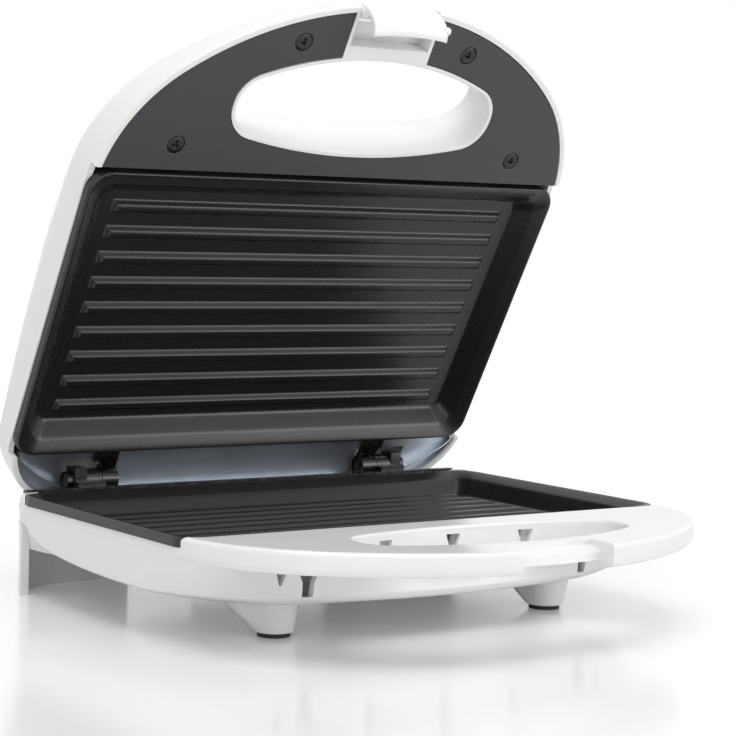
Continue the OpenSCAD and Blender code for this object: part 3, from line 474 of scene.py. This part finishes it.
shell = carve(
    shell,
    ("UNION", block(-HOUSING, HOUSING, PLATE_W - 12, REAR_Y - STEP, -TUB, -DECK - 1)),
    ("DIFFERENCE", carve(
        loft(tub_inner),
        ("DIFFERENCE", block(-FAR, FAR, PLATE_W - 1.5, FAR, -DECK - WALL, FAR)),
        ("DIFFERENCE", block(-FAR, FAR, -FAR, FAR, -WALL, FAR)))),
    ("DIFFERENCE", block(WALL - HOUSING, HOUSING - WALL, PLATE_W - 10, REAR_Y - STEP - WALL,
                         WALL - TUB, -DECK - WALL)),
    ("DIFFERENCE", block(-NOTCH_HALF - GAP, NOTCH_HALF + GAP, -FAR, NOTCH_Y, -FAR, FAR)),
    ("DIFFERENCE", block(-FAR, FAR, PLATE_W + GAP, FAR, SEAT_LOW, FAR)),
    ("DIFFERENCE", block(-FAR, FAR, PLATE_W + 2.8, FAR, -DECK, FAR)),
)
ledge_top, ledge_h = -2.4, 4.0
arm = NOTCH_HALF + WALL - GAP
inside_bar = slab(outline(base_plan, 0.6), -FAR, FAR)
ledge = profile_x([(-FAR, ledge_top - 2.2), (-FAR, ledge_top - ledge_h),
                   (NOTCH_Y + 3, ledge_top - ledge_h),
                   (NOTCH_Y + 3, ledge_top + 0.6), (NOTCH_Y - 1, ledge_top + 0.6),
                   (NOTCH_Y - 2.2, ledge_top + 0.42), (LEDGE_Y + 2.4, ledge_top - 0.95),
                   (LEDGE_Y + 1.1, ledge_top - 1.35)], -arm, arm)
catch = carve(ledge,
              ("INTERSECT", rod((0, front_cy, -60), (0, front_cy, 60), front_cy - LEDGE_Y, 512)),
              ("UNION", block(NOTCH_HALF + GAP, arm + GAP, -FAR, NOTCH_Y + 2.4, 1 - BAR, -0.6)),
              ("UNION", block(-arm - GAP, -NOTCH_HALF - GAP, -FAR, NOTCH_Y + 2.4, 1 - BAR, -0.6)),
              ("INTERSECT", inside_bar))
seat = carve(slab(plate_ring(-2.6), -2 * SKIRT, 0),
             ("DIFFERENCE", slab(plate_ring(2.5), -FAR, FAR)),
             ("DIFFERENCE", block(-FAR, FAR, PLATE_W, FAR, SEAT_LOW, FAR)),
             ("INTERSECT", slab(outline(base_plan, 1.1), -FAR, FAR)))
leg_plan = (LID_HALF - STEP - 0.9, STEP - REACH, FRONT_R, CORNER_R, REAR_Y - STEP - 0.7, REAR_FLAT - 1,
            REAR_R - STEP + 0.2)
leg = carve(loft([at_z(outline(leg_plan, 0.5), -STAND), at_z(outline(leg_plan, 0.15), 0.15 - STAND),
                  at_z(outline(leg_plan), 0.5 - STAND), at_z(outline(leg_plan), -DECK - 0.5)]),
            ("DIFFERENCE", slab(outline(leg_plan, 3.4), -FAR, FAR)),
            ("INTERSECT", block(50, FAR, PLATE_W, FAR, -FAR, FAR)))


def disc(x, y, z, r, sides=48):
    """A level ring of points."""
    return [(x + r * math.cos(math.tau * i / sides), y + r * math.sin(math.tau * i / sides), z)
            for i in range(sides)]


FOOT_X, FOOT_Y, PAD_H = 63.3, 15.2, 1.7
foot_z = PAD_H - STAND
foot = wrapped([p for dx, dy, z, r in (
    (0, 0, foot_z, 7.0), (0, 0, foot_z + 0.15, 7.3), (0, 0, foot_z + 0.6, 7.5), (0, 0, foot_z + 2, 7.5),
    (2.7, 15, 1 - TUB, 14), (2.7, 15, 2 - TUB, 14), (0.2, -1.2, 1 - TUB, 9), (0.2, -1.2, 2 - TUB, 9))
    for p in disc(FOOT_X + dx, FOOT_Y + dy, z, r)])
bosses = [(x, y) for x in (-44, 44) for y in (37, PLATE_W - 37)]
BOSS_R, SCREW_BORE, SCREW_HOLE, SHEET_Z = 5, 3.3, 2.05, 19.9
drip_wall = block(FOOT_X - 8, FOOT_X + 16, 3.5, 5.0, WALL - TUB - 0.5, -11)
for part in (catch, seat, leg, mirrored(leg), foot, mirrored(foot), drip_wall, mirrored(drip_wall)):
    shell = carve(shell, ("UNION", part))
for x, y in bosses:
    shell = carve(shell, ("UNION", rod((x, y, WALL - TUB - 1), (x, y, -SHEET_Z - 0.8), BOSS_R)))
cuts = [slab(plate_ring(-GAP), -SKIRT, 1), slab(plate_ring(2.4), -SKIRT - 1.6, 0.5)]
cuts.append(loft([at_z(hole_ring(grow), z) for grow, z in (
    (0.9, -BAR - 1), (0, -BAR + 0.7), (0, -1.1), (0.1, -0.6), (0.4, -0.2), (1.1, 0.02), (1.6, 1))]))
for x, y in bosses:
    cuts.append(rod((x, y, -FAR), (x, y, 1.6 - TUB), SCREW_BORE))
    cuts.append(rod((x, y, -TUB), (x, y, 0), SCREW_HOLE))


def vent(x, half, back=0):
    """A slot through the tub's front wall, with the profile (x, z) of its right half."""
    ring = [(x + a, z) for a, z in half] + [(x - a, z) for a, z in reversed(half)]
    return loft([[(a, y, z) for a, z in ring] for y in (-30, back)])


narrow = [(1.8, -17), (1.8, -7.5), (3.3, -3.1)]
funnel = [(2, -23), (2.3, -17.5), (5, -12)]
wedge = [(0.4, -18.5), (2.6, -12)]
cuts += [vent(x, narrow) for x in (-37, -4.5, 28)]
PAD_BORE, CORD_Z, CORD_BORE = 3.9, -18.7, 4.4
for side in (-1, 1):
    cuts.append(rod((side * FOOT_X, FOOT_Y, -FAR), (side * FOOT_X, FOOT_Y, foot_z + 2), PAD_BORE))
    cuts.append(vent(side * FOOT_X, funnel, 3))
    cuts.append(vent(side * (FOOT_X + 10.5), wedge, 3))
cuts.append(rod((0, REAR_Y - 10, CORD_Z), (0, REAR_Y + 10, CORD_Z), CORD_BORE))
shell = carve(shell, *[("DIFFERENCE", cut) for cut in cuts])


def white_plastic(name, tone):
    """Injection-moulded gloss: a faint orange peel and slight flow marks in its sheen."""
    made, shader, place = new_finish(name, coat_roughness=0.08)
    flow = grain(place, 14, 3.0, 0.6)
    speck = grain(place, 900, 1.0)
    level = (tone, tone, tone * 0.995, 1)
    feed(shader, base_color=flow.blend(level, (tone * 1.02, tone * 1.02, tone * 1.018, 1)),
         roughness=flow * 0.07 + speck * 0.04 + 0.14,
         normal=bumped(grain(place, 260, 1.0) * 0.8 + speck * 0.2, 0.12, 0.00018))
    return made


white = white_plastic("white_gloss", 0.83)
place_piece("base_moulding", shell, base_place, white, "base",
            ["base_shell", "handle_bar", "cord_housing", "rear_leg_left", "rear_leg_right",
             "front_foot_left", "front_foot_right"])

# ---------- Inside the base ----------
# A sealed heating element lies under the plate over a bright sheet, with a thermostat, a fuse and
# a terminal block beside it. Screws from below hold the plate, and rubber pads tip the feet.


def dress(finish, *names):
    """Give solids of the frame, whose shape stays, their finish."""
    for name in names:
        frame["nodes"][name].material_slots[0].material = finish


def metal(name, light, dark, gloss, streak):
    """Bare metal with drawing marks along x and a few duller patches."""
    made, shader, place = new_finish(name, metallic=1.0)
    drawn = place.node("ShaderNodeMapping", {}, {"Vector": place, "Scale": (0.04, 1.0, 1.0)})
    marks = grain(drawn, 1400, 2.0)
    cloud = grain(place, 55, 3.0, 0.6)
    feed(shader, base_color=cloud.blend(light, dark),
         roughness=cloud * 0.12 + marks * streak + gloss, normal=bumped(marks, 0.25, 0.00005))
    return made


def grained(name, light, dark, gloss, scale, depth):
    """Matt moulded or cast stuff with an even fine grain."""
    made, shader, place = new_finish(name)
    fine = grain(place, scale, 2.0, 0.7)
    cloud = grain(place, 40, 3.0, 0.6)
    feed(shader, base_color=(cloud * 0.6 + fine * 0.4).blend(light, dark),
         roughness=fine * 0.15 + gloss, normal=bumped(fine, 0.5, depth))
    return made


heater_steel = metal("heater_steel", (0.2, 0.185, 0.175, 1), (0.32, 0.3, 0.285, 1), 0.3, 0.1)
bright_sheet = metal("bright_sheet", (0.62, 0.67, 0.74, 1), (0.76, 0.8, 0.86, 1), 0.3, 0.06)
zinc = metal("zinc_screw", (0.42, 0.42, 0.43, 1), (0.58, 0.58, 0.6, 1), 0.22, 0.08)
ceramic = grained("ceramic", (0.78, 0.75, 0.68, 1), (0.86, 0.84, 0.79, 1), 0.5, 700, 0.0001)
rubber = grained("black_rubber", (0.012, 0.012, 0.012, 1), (0.022, 0.022, 0.022, 1), 0.6, 900, 0.0002)
dress(heater_steel, "base_heater")
dress(bright_sheet, "base_reflector")
dress(zinc, "base_screws", "rail_screws", "hinge_bracket_screws")
dress(ceramic, "thermostat", "thermal_fuse", "terminal_block")
dress(rubber, "cord_gland", "front_pad_left", "front_pad_right")

# ---------- Base plate ----------
# Cast aluminium with a black non-stick coating. The rim falls over a sloping land and a steep
# wall to the floor, where nine ribs stand. It drops into the seat and is screwed from below.

DISH, THICK = 10.0, 3.0
rim = [(0.24, -0.8), (0.34, -0.5), (0.55, -0.26), (0.8, -0.15), (1.15, -0.16), (1.6, -0.35),
       (2.7, -0.96), (4.0, -1.85), (5.2, -2.62), (5.8, -3.05), (6.2, -3.42), (6.6, -3.88),
       (7.4, -4.9), (8.9, -6.9), (10.0, -8.4), (10.4, -8.9), (10.8, -9.36), (11.3, -9.72),
       (12.0, -9.94), (12.8, -DISH)]
under = [(11.5, -DISH - THICK), (8.0, -11.7), (4.8, -5.6), (3.0, -4.3), (2.4, -SKIRT), (0, -SKIRT),
         (0, -1.3)]
plate = loft([at_z(plate_ring(inset), z) for inset, z in under + rim])
for x, y in bosses:
    plate = together(plate, rod((x, y, -SHEET_Z), (x, y, -DISH - THICK + 0.2), BOSS_R))
RIBS, RIB_FRONT, RIB_BACK, RIB_END = 9, 19.4, 17.4, 18.4
RIB_TOP, RIB_FLARE, RIB_CUT = 2.2, 1.1, 0.3
rib_rings = []
for share, height in ((2.2, -0.3), (1.8, -0.02), (1.55, 0.06), (1.35, 0.17), (1.18, 0.33), (1.05, 0.55),
                      (0.42, 1.45), (0.3, 1.62), (0.14, 1.78), (-0.08, 1.91), (-0.38, 1.98),
                      (-0.75, 2.0)):
    hx = PLATE_L / 2 - RIB_END - 0.8 + 1.2 * share
    hy = RIB_TOP / 2 + RIB_FLARE * share
    ix, iy = hx - RIB_CUT, hy - RIB_CUT
    rib_rings.append([(x, y, height) for x, y in (
        (ix, -hy), (hx, -iy), (hx, iy), (ix, hy), (-ix, hy), (-hx, iy), (-hx, -iy), (-ix, -hy))])


def row_tree(name):
    """Geometry Nodes that set copies of one shape in a row along y and give them a finish."""
    tree = bpy.data.node_groups.new(name, "GeometryNodeTree")
    for label, kind in (("Shape", "NodeSocketGeometry"), ("Count", "NodeSocketInt"),
                        ("Start", "NodeSocketVector"), ("Step", "NodeSocketVector"),
                        ("Finish", "NodeSocketMaterial")):
        tree.interface.new_socket(label, in_out="INPUT", socket_type=kind)
    tree.interface.new_socket("Row", in_out="OUTPUT", socket_type="NodeSocketGeometry")
    given, row, copies, real, finish, out = (tree.nodes.new(kind) for kind in (
        "NodeGroupInput", "GeometryNodeMeshLine", "GeometryNodeInstanceOnPoints",
        "GeometryNodeRealizeInstances", "GeometryNodeSetMaterial", "NodeGroupOutput"))
    for source, socket in ((given.outputs["Count"], row.inputs["Count"]),
                           (given.outputs["Start"], row.inputs["Start Location"]),
                           (given.outputs["Step"], row.inputs["Offset"]),
                           (row.outputs["Mesh"], copies.inputs["Points"]),
                           (given.outputs["Shape"], copies.inputs["Instance"]),
                           (copies.outputs["Instances"], real.inputs["Geometry"]),
                           (real.outputs["Geometry"], finish.inputs["Geometry"]),
                           (given.outputs["Finish"], finish.inputs["Material"]),
                           (finish.outputs["Geometry"], out.inputs["Row"])):
        tree.links.new(source, socket)
    return tree


def laid_out(shape, tree, place, **inputs):
    """The plain mesh that a tree makes of one shape, moved to its place."""
    unit = bpy.data.meshes.new("unit")
    unit.from_pydata(shape[0], [], shape[1])
    holder = bpy.data.objects.new("unit", unit)
    bpy.context.scene.collection.objects.link(holder)
    change = holder.modifiers.new("row", "NODES")
    change.node_group = tree
    for item in tree.interface.items_tree:
        if item.in_out == "INPUT" and item.name in inputs:
            change[item.identifier] = inputs[item.name]
    bpy.context.view_layer.update()
    seen = holder.evaluated_get(bpy.context.evaluated_depsgraph_get())
    mesh = bpy.data.meshes.new_from_object(seen)
    holder.modifiers.clear()
    bpy.data.objects.remove(holder)
    bpy.data.meshes.remove(unit)
    for point in mesh.vertices:
        point.co = place(*point.co)
    mesh.update()
    return mesh


def coating(name):
    """Black non-stick: satin, with a fine sprayed texture and a faint bloom where it is thin."""
    made, shader, place = new_finish(name)
    spray = grain(place, 1500, 2.0, 0.6)
    bloom = grain(place, 18, 3.0, 0.55)
    tone = (bloom * 0.7 + spray * 0.3).blend((0.009, 0.009, 0.0105, 1), (0.018, 0.018, 0.0205, 1))
    feed(shader, base_color=tone, roughness=bloom * 0.08 + spray * 0.1 + 0.2,
         normal=bumped(spray, 0.3, 0.00005))
    return made


nonstick = coating("nonstick")
rib_row = row_tree("rib row")
rib_step = (PLATE_W - RIB_FRONT - RIB_BACK) / (RIBS - 1)
place_piece("base_grill_plate", plate, base_place, nonstick, "base", "base_plate", 40)
rib_places = {"Count": RIBS, "Start": (0, RIB_FRONT, -DISH), "Step": (0, rib_step, 0),
              "Finish": nonstick}
ribs = laid_out(loft(rib_rings), rib_row, base_place, **rib_places)
finish_piece("base_grill_ribs", ribs, nonstick, "base", "base_plate", 50)

# ---------- Hinges ----------
# Each hinge is a black glass-filled bracket on the rear deck and an arm on the lid's sheet, with
# a blackened steel pin through both knuckles. A black rail closes the gap behind the plate.

soot = (0.008, 0.008, 0.009, 1)
black_plastic = grained("black_plastic", soot, (0.02, 0.02, 0.021, 1), 0.2, 420, 0.00025)
smooth_black = grained("smooth_black", soot, (0.014, 0.014, 0.015, 1), 0.16, 900, 0.00004)
blackened = metal("blackened_steel", (0.035, 0.035, 0.037, 1), (0.07, 0.07, 0.074, 1), 0.24, 0.1)
dress(black_plastic, "hinge_rail", "hinge_bracket_left", "hinge_bracket_right")
dress(smooth_black, "hinge_arm_left", "hinge_arm_right")
dress(blackened, "hinge_pin_left", "hinge_pin_right", "hinge_arm_screws")

# ---------- Lid shell ----------
# One domed moulding in the same white gloss. Its wall rises to a crown over the plate and falls
# to a thin tip at the handle; a sleeve lines the hand hole, and a notch holds the latch.

LID_HIGH, TIP_HIGH, BACK_HIGH = 39.0, 8.0, 20.0
SIDE_HIGH, LIP_HIGH, BACK_WALL = 22.0, 4.0, 14.0
HUB_Y, DOME = 45.0, 5.6


def fall(t):
    """The share of the crown's drop at a share of the way to the tip."""
    return ((t * t + 0.02) ** 0.6 - 0.02 ** 0.6) / (1.02 ** 0.6 - 0.02 ** 0.6)


def crown(y):
    """Height of the lid along its middle line."""
    if y < HUB_Y:
        return LID_HIGH - (LID_HIGH - TIP_HIGH) * fall((HUB_Y - y) / (HUB_Y + REACH))
    return LID_HIGH - (LID_HIGH - BACK_HIGH) * ((y - HUB_Y) / (REAR_Y - HUB_Y)) ** 2.8


def wall_top(y):
    """Height at which the lid's side wall turns into the dome."""
    if y < HUB_Y:
        return SIDE_HIGH - (SIDE_HIGH - LIP_HIGH) * ((HUB_Y - y) / (HUB_Y + REACH)) ** 1.9
    return SIDE_HIGH - (SIDE_HIGH - BACK_WALL) * ((y - HUB_Y) / (REAR_Y - HUB_Y)) ** 2


def wall_ring(inset, share, drop=0.0):
    """A ring a share of the way up the lid's side wall."""
    return [(x, y, wall_top(y) * share - drop) for x, y in outline(lid_plan, inset)]


def dome_ring(inset, size, share, drop=0.0):
    """A ring shrunk towards the hub, a share of the way from the top of the wall to the crown."""
    made = []
    for x, y in outline(lid_plan, inset):
        qy = HUB_Y + (y - HUB_Y) * size
        made.append((x * size, qy, wall_top(y) + (crown(qy) - wall_top(y)) * share - drop))
    return made


outer = loft(
    [at_z(outline(lid_plan, inset), z) for inset, z in ((0.8, 0), (0.42, 0.1), (0.16, 0.34), (0, 0.8))]
    + [wall_ring(inset, share) for inset, share in ((0.06, 0.4), (0.2, 0.66), (0.5, 0.82), (1, 0.92))]
    + [dome_ring(1, k, 1 - k ** DOME) for k in (0.99, 0.972, 0.95, 0.93, 0.9, 0.86, 0.8, 0.74, 0.65,
                                                0.55, 0.43, 0.32, 0.2, 0.1, 0.03)])


def hollow(t):
    """The solid that lies t inside the lid's outer surface."""
    steps = ((0.972, 0.16), (0.93, 0.36), (0.86, 0.58), (0.74, 0.8), (0.55, 0.95), (0.32, 1), (0.1, 1))
    return loft([at_z(outline(lid_plan, t), -1), at_z(outline(lid_plan, t), 0.3),
                 wall_ring(t + 0.2, 0.66, t), wall_ring(t + 1, 0.92, t)]
                + [dome_ring(t + 1, k, share, t) for k, share in steps])


def lid_top(x, y):
    """Height of the lid's outer surface over a point."""
    edge = outline(lid_plan, 1)
    for (ax, ay), (bx, by) in zip(edge, edge[1:] + edge[:1]):
        first = ax * (y - HUB_Y) - (ay - HUB_Y) * x
        second = bx * (y - HUB_Y) - (by - HUB_Y) * x
        if first * second <= 0 and first != second and ax * x + (ay - HUB_Y) * (y - HUB_Y) > 0:
            share = first / (first - second)
            px, py = ax + (bx - ax) * share, ay + (by - ay) * share
            size = math.hypot(x, y - HUB_Y) / math.hypot(px, py - HUB_Y)
            return wall_top(py) + (crown(y) - wall_top(py)) * (1 - size ** DOME)
    return LID_HIGH


def post(x, y, low, high, r):
    """An upright round bar."""
    return slab([(px, py) for px, py, z in disc(x, y, 0, r, 24)], low, high)


def web(x0, y0, x1, y1):
    """A stiffening rib under the crown between two points."""
    return wrapped(disc(x0, y0, SHEET_Z + 4, 0.8, 12) + disc(x1, y1, SHEET_Z + 4, 0.8, 12)
                   + disc(x0, y0, LID_HIGH, 0.8, 12) + disc(x1, y1, LID_HIGH, 0.8, 12))


liner_spots = [(38.5, 17.9 - REACH), (PLATE_L / 2 - 30.7, 63 - REACH)]
ARM_X, ARM_Y = PLATE_L / 2 - 45, HINGE_Y - 8.2
fittings = [web(x, 24, x, 104) for x in (-88, -52, 52, 88)]
fittings += [web(x - 18, y, x + 18, y) for x in (-30, 30) for y in (46, 82)]
fittings += [post(x, y, SHEET_Z + 2.8, LID_HIGH, BOSS_R) for x, y in bosses]
for side in (-1, 1):
    fittings += [post(side * x, y, 3, LID_HIGH, 3.6) for x, y in liner_spots]
    fittings.append(post(side * ARM_X, ARM_Y, 5.2, LID_HIGH, 4.2))
RECESS_HALF, RECESS_Y, BACK = 18.3, NOTCH_Y + 1.9, 1.1
RECESS_WALL, RECESS_END = 1.4, BAR_W - REACH + 2
around = RECESS_HALF + RECESS_WALL
notch = carve(block(-around, around, -FAR, RECESS_Y + RECESS_WALL, 0, LID_HIGH),
              ("DIFFERENCE", block(-RECESS_HALF, RECESS_HALF, -FAR - 1, RECESS_Y, -1, LID_HIGH + 1)),
              ("UNION", block(-around, around, RECESS_Y, RECESS_END, 0, WALL)),
              ("UNION", slab(hole_ring(SLEEVE, BACK), 0, LID_HIGH)))
for part in fittings:
    notch = carve(notch, ("UNION", part))
lid = carve(outer, ("DIFFERENCE", hollow(WALL)),
            ("UNION", carve(hollow(WALL / 2), ("INTERSECT", notch))))


def over_lid(ring, rise):
    """A ring laid on the lid's outer surface, then lifted."""
    return [(x, y, lid_top(x, y) + rise) for x, y in ring]


RIM_Y, LAMP_X, LAMP_Y, LAMP_R = -1.9, 9, -2, 3.65
CLEAR_IN, CLEAR_OUT, CLEAR_DEEP, CLEAR_HIGH = 67.5, 81, 0.9, 11
hand_hole = loft(
    [at_z(hole_ring(grow, BACK), z) for grow, z in ((0.7, -1), (0.5, 0), (0.18, 0.14), (0, 0.5))]
    + [over_lid(hole_ring(grow, BACK), rise)
       for grow, rise in ((0, -1.6), (0.15, -0.85), (0.55, -0.3), (1.2, 0.0), (1.9, 0.3))]
    + [at_z(hole_ring(1.9, BACK), FAR)])
lid = carve(
    lid,
    ("DIFFERENCE", hand_hole),
    ("DIFFERENCE", block(-FAR, FAR, RIM_Y, PLATE_W + GAP, -FAR, SKIRT)),
    ("DIFFERENCE", block(-RECESS_HALF, RECESS_HALF, -FAR, LEDGE_Y + 1, -FAR, FAR)),
    ("DIFFERENCE", block(CLEAR_IN, CLEAR_OUT, REAR_Y - CLEAR_DEEP, FAR, -FAR, CLEAR_HIGH)),
    ("DIFFERENCE", block(-CLEAR_OUT, -CLEAR_IN, REAR_Y - CLEAR_DEEP, FAR, -FAR, CLEAR_HIGH)),
    ("DIFFERENCE", rod((-LAMP_X, LAMP_Y, 8), (-LAMP_X, LAMP_Y, FAR), LAMP_R)),
    ("DIFFERENCE", rod((LAMP_X, LAMP_Y, 8), (LAMP_X, LAMP_Y, FAR), LAMP_R)))
place_piece("lid_moulding", lid, lid_place, white, "lid", "lid_shell")

# ---------- Handle liner and its screws ----------
# A dark grey moulded plate closes the hollow handle from below, round the hand hole. Four
# blackened cross-head screws hold it in counterbores.

LINER_LOW, LINER_HIGH, HEAD_BORE = 0.3, 2.9, 3.65
liner = carve(
    loft([at_z(outline(lid_plan, inset), z) for inset, z in (
        (3.05, LINER_LOW), (2.87, LINER_LOW + 0.07), (2.8, LINER_LOW + 0.25), (2.8, LINER_HIGH))]),
    ("DIFFERENCE", block(-FAR, FAR, RIM_Y, FAR, -FAR, FAR)),
    ("DIFFERENCE", loft([at_z(hole_ring(SLEEVE + grow, BACK), z) for grow, z in (
        (0.6, -1), (0.55, LINER_LOW), (0.37, LINER_LOW + 0.07), (0.3, LINER_LOW + 0.25), (0.3, FAR))])),
    ("DIFFERENCE", block(-around, around, -FAR, RECESS_END, -FAR, FAR)))
for x, y in liner_spots + [(-x, y) for x, y in liner_spots]:
    liner = carve(liner, ("DIFFERENCE", rod((x, y, -1), (x, y, 1.8), HEAD_BORE, 64)),
                  ("DIFFERENCE", rod((x, y, LINER_LOW - 0.2), (x, y, LINER_LOW + 0.3),
                                     HEAD_BORE + 0.5, 64, HEAD_BORE)))
liner_grey = grained("liner_grey", (0.038, 0.035, 0.039, 1), (0.05, 0.046, 0.051, 1),
                     0.36, 1100, 0.00004)
place_piece("hand_hole_liner", liner, lid_place, liner_grey, "lid", "handle_liner")

head = loft([disc(0, 0, z, r, 48) for r, z in (
    (1.2, 0.2), (2.4, 0.24), (3.1, 0.34), (3.4, 0.5), (3.5, 0.75), (3.5, 1.5))])
wing = wrapped([(x * a, y * b, z) for x, y, z in ((2.05, 0.42, 0), (1.1, 0.42, 0), (0.5, 0.25, 1.25))
                for a in (-1, 1) for b in (-1, 1)])
head = carve(head, ("DIFFERENCE", wing), ("DIFFERENCE", ([(y, -x, z) for x, y, z in wing[0]], wing[1])),
             ("DIFFERENCE", rod((0, 0, -0.1), (0, 0, 1.2), 0.95, 12, 0.5)))
head = together(head, rod((0, 0, 1.4), (0, 0, 8), 1.4, 16))
screw_row = row_tree("screw row")
for label, (x, y) in zip(("front", "back"), liner_spots):
    screws = laid_out(head, screw_row, lid_place, Count=2, Start=(-x, y, 0.1), Step=(2 * x, 0, 0),
                      Finish=blackened)
    finish_piece("liner_screws_" + label, screws, blackened, "lid", "liner_screws", 35)

# ---------- Lid plate ----------
# The same casting as the lower plate, turned over, with its element and a bent bright sheet
# behind it. The sheet steps down to line the hollow at the hinges, where a strip of the same
# sheet fills the lid's rear corners.


def lid_under(x, y, z):
    """A point of the lid's plate, given as if it were the lower one."""
    return lid_place(x, y, -z)


place_piece("lid_grill_plate", flipped(plate), lid_under, nonstick, "lid", "lid_plate", 40)
ribs = laid_out(loft(rib_rings), rib_row, lid_under, **rib_places)
ribs.flip_normals()
finish_piece("lid_grill_ribs", ribs, nonstick, "lid", "lid_plate", 50)
dress(heater_steel, "lid_heater")
dress(bright_sheet, "lid_reflector")
APRON_Y, APRON_Z = PLATE_W + 0.5, 4.4
SHEET_FLAT, SHEET_R = 120, 68.6
sheet_edge = (LID_HALF, -REACH, FRONT_R, CORNER_R, REAR_Y, SHEET_FLAT, SHEET_R)
apron = carve(slab(outline(lid_plan, WALL + 0.1), 0.9, APRON_Z + 0.5),
              ("DIFFERENCE", carve(slab(outline(lid_plan, WALL + 0.7), -1, APRON_Z - 0.1),
                                   ("UNION", slab(outline(sheet_edge, WALL + 1.2), 0, APRON_Z + 1)))),
              ("INTERSECT", block(-FAR, FAR, APRON_Y, FAR, -FAR, FAR)))
place_piece("lid_apron", apron, lid_place, bright_sheet, "lid")
dress(zinc, "lid_plate_screws")

# ---------- Lamps ----------
# A red and a green window stand in the crown over the handle, on a small ceramic carrier.


def window(name, deep, clear):
    """Tinted moulded glass with faint swirls."""
    made, shader, place = new_finish(name, transmission_weight=0.35)
    swirl = grain(place, 380, 2.0)
    feed(shader, base_color=swirl.blend(deep, clear), roughness=swirl * 0.06 + 0.06,
         normal=bumped(grain(place, 1200, 1.0), 0.1, 0.0001))
    return made


dress(window("red_window", (0.5, 0.02, 0.015, 1), (0.66, 0.05, 0.04, 1)), "power_lens")
dress(window("green_window", (0.03, 0.36, 0.08, 1), (0.06, 0.5, 0.14, 1)), "ready_lens")
dress(ceramic, "lamp_carrier")

# ---------- Latch ----------
# A curled white clip on a steel pin in the lid's notch. Its arm follows the front edge, and its
# hook turns in under the ledge of the base.

LATCH_Y, LATCH_N, LATCH_DROP, LATCH_WALL = 4.5 - REACH, 2.2, 10.2, 2.4
face_r, tip_r, pivot_r = FRONT_R - 0.5, front_cy - LEDGE_Y + 0.5, front_cy - LATCH_Y
curl = face_r - tip_r
bends = [math.radians(90 * i / 20) for i in range(21)]
crest = [(pivot_r, LATCH_N + 2.6), (face_r - 2.6, LATCH_N + 2.35), (face_r - 1.6, LATCH_N + 1.9),
         (face_r - 0.8, LATCH_N + 1.3), (face_r - 0.25, LATCH_N + 0.65), (face_r, LATCH_N)]


def clip_profile(wall):
    """The clip's section (radius, z): a curl of one wall under a solid crest."""
    return ([(tip_r + curl * math.cos(t), -LATCH_DROP * math.sin(t)) for t in bends]
            + [(tip_r + (curl - wall) * math.cos(t), (0.8 * wall - LATCH_DROP) * math.sin(t))
               for t in reversed(bends)]
            + [(pivot_r, 0.4)] + crest)


def on_arc(x, r):
    """The y of a point at a radius round the middle of the lid's front edge."""
    return front_cy - math.sqrt(r * r - x * x)


def drawn_in(points, by):
    """A closed profile with every point moved in along its normal."""
    made = []
    for i, (r, z) in enumerate(points):
        (ar, az), (br, bz) = points[i - 1], points[(i + 1) % len(points)]
        tr, tz = br - ar, bz - az
        size = math.hypot(tr, tz) or 1.0
        made.append((r + by * tz / size, z - by * tr / size))
    return made


ends = [(-16.9, 0.3, 0.9), (-16.84, 0.14, 1.0), (-16.65, 0.03, 1.1), (-16.3, 0, 1.25),
        (-15.6, 0, 1.6), (-14.6, 0, 2.0)]
stations = (ends + [(-13.6 + 27.2 * i / 18, 0, LATCH_WALL) for i in range(19)]
            + [(-x, by, wall) for x, by, wall in reversed(ends)])
rings = [[(x, on_arc(x, r), z) for r, z in drawn_in(clip_profile(wall), -by)]
         for x, by, wall in stations]
clip_shape = loft(rings)
if ring_area([(y, z) for x, y, z in rings[5]]) < 0:
    clip_shape = flipped(clip_shape)
BARREL_R, NUB_Y, NUB_Z = 2.55, -70.2, -7.4
barrel = rod((GAP - RECESS_HALF, LATCH_Y, LATCH_N), (RECESS_HALF - GAP, LATCH_Y, LATCH_N), BARREL_R)
cheek = [(r - 0.4, z - 0.2) for r, z in clip_profile(0.9)[:9] + [(pivot_r, -1.2)] + crest if z > -3.2]
cheeks = [wrapped([(x, on_arc(x, r), z) for x in span for r, z in cheek])
          for span in ((-16.6, -15.2), (15.2, 16.6))]
nub = wrapped([(x, NUB_Y + r * math.cos(t), NUB_Z + r * math.sin(t))
               for x, r in ((16, 1.6), (18.2, 1.6), (18.7, 1.35), (19, 0.8))
               for t in (math.tau * i / 20 for i in range(20))])
latch_white = white_plastic("latch_white", 0.85)
place_piece("swing_latch", together(clip_shape, barrel, nub, *cheeks), lid_place, latch_white,
            "latch", "latch", 40)
dress(zinc, "latch_pin")

# ---------- Studio light ----------
# Soft light from a wide panel overhead and the pale room round it.


def lamp(name, x, y, z, size, power):
    """A soft square light that faces the toaster."""
    data = bpy.data.lights.new(name, "AREA")
    data.shape, data.size, data.energy = "SQUARE", size, power
    made = bpy.data.objects.new(name, data)
    made.location = (x, y, z)
    made.rotation_euler = (Vector((0, 0, 0.08)) - Vector((x, y, z))).to_track_quat("-Z", "Y").to_euler()
    bpy.context.scene.collection.objects.link(made)


lamp("panel", -0.5, -0.6, 2.3, 1.8, 31.5)
lamp("front", 1.25, -1.65, 0.55, 0.9, 10.0)
lamp("side", -1.7, -1.9, 0.4, 1.2, 6.0)
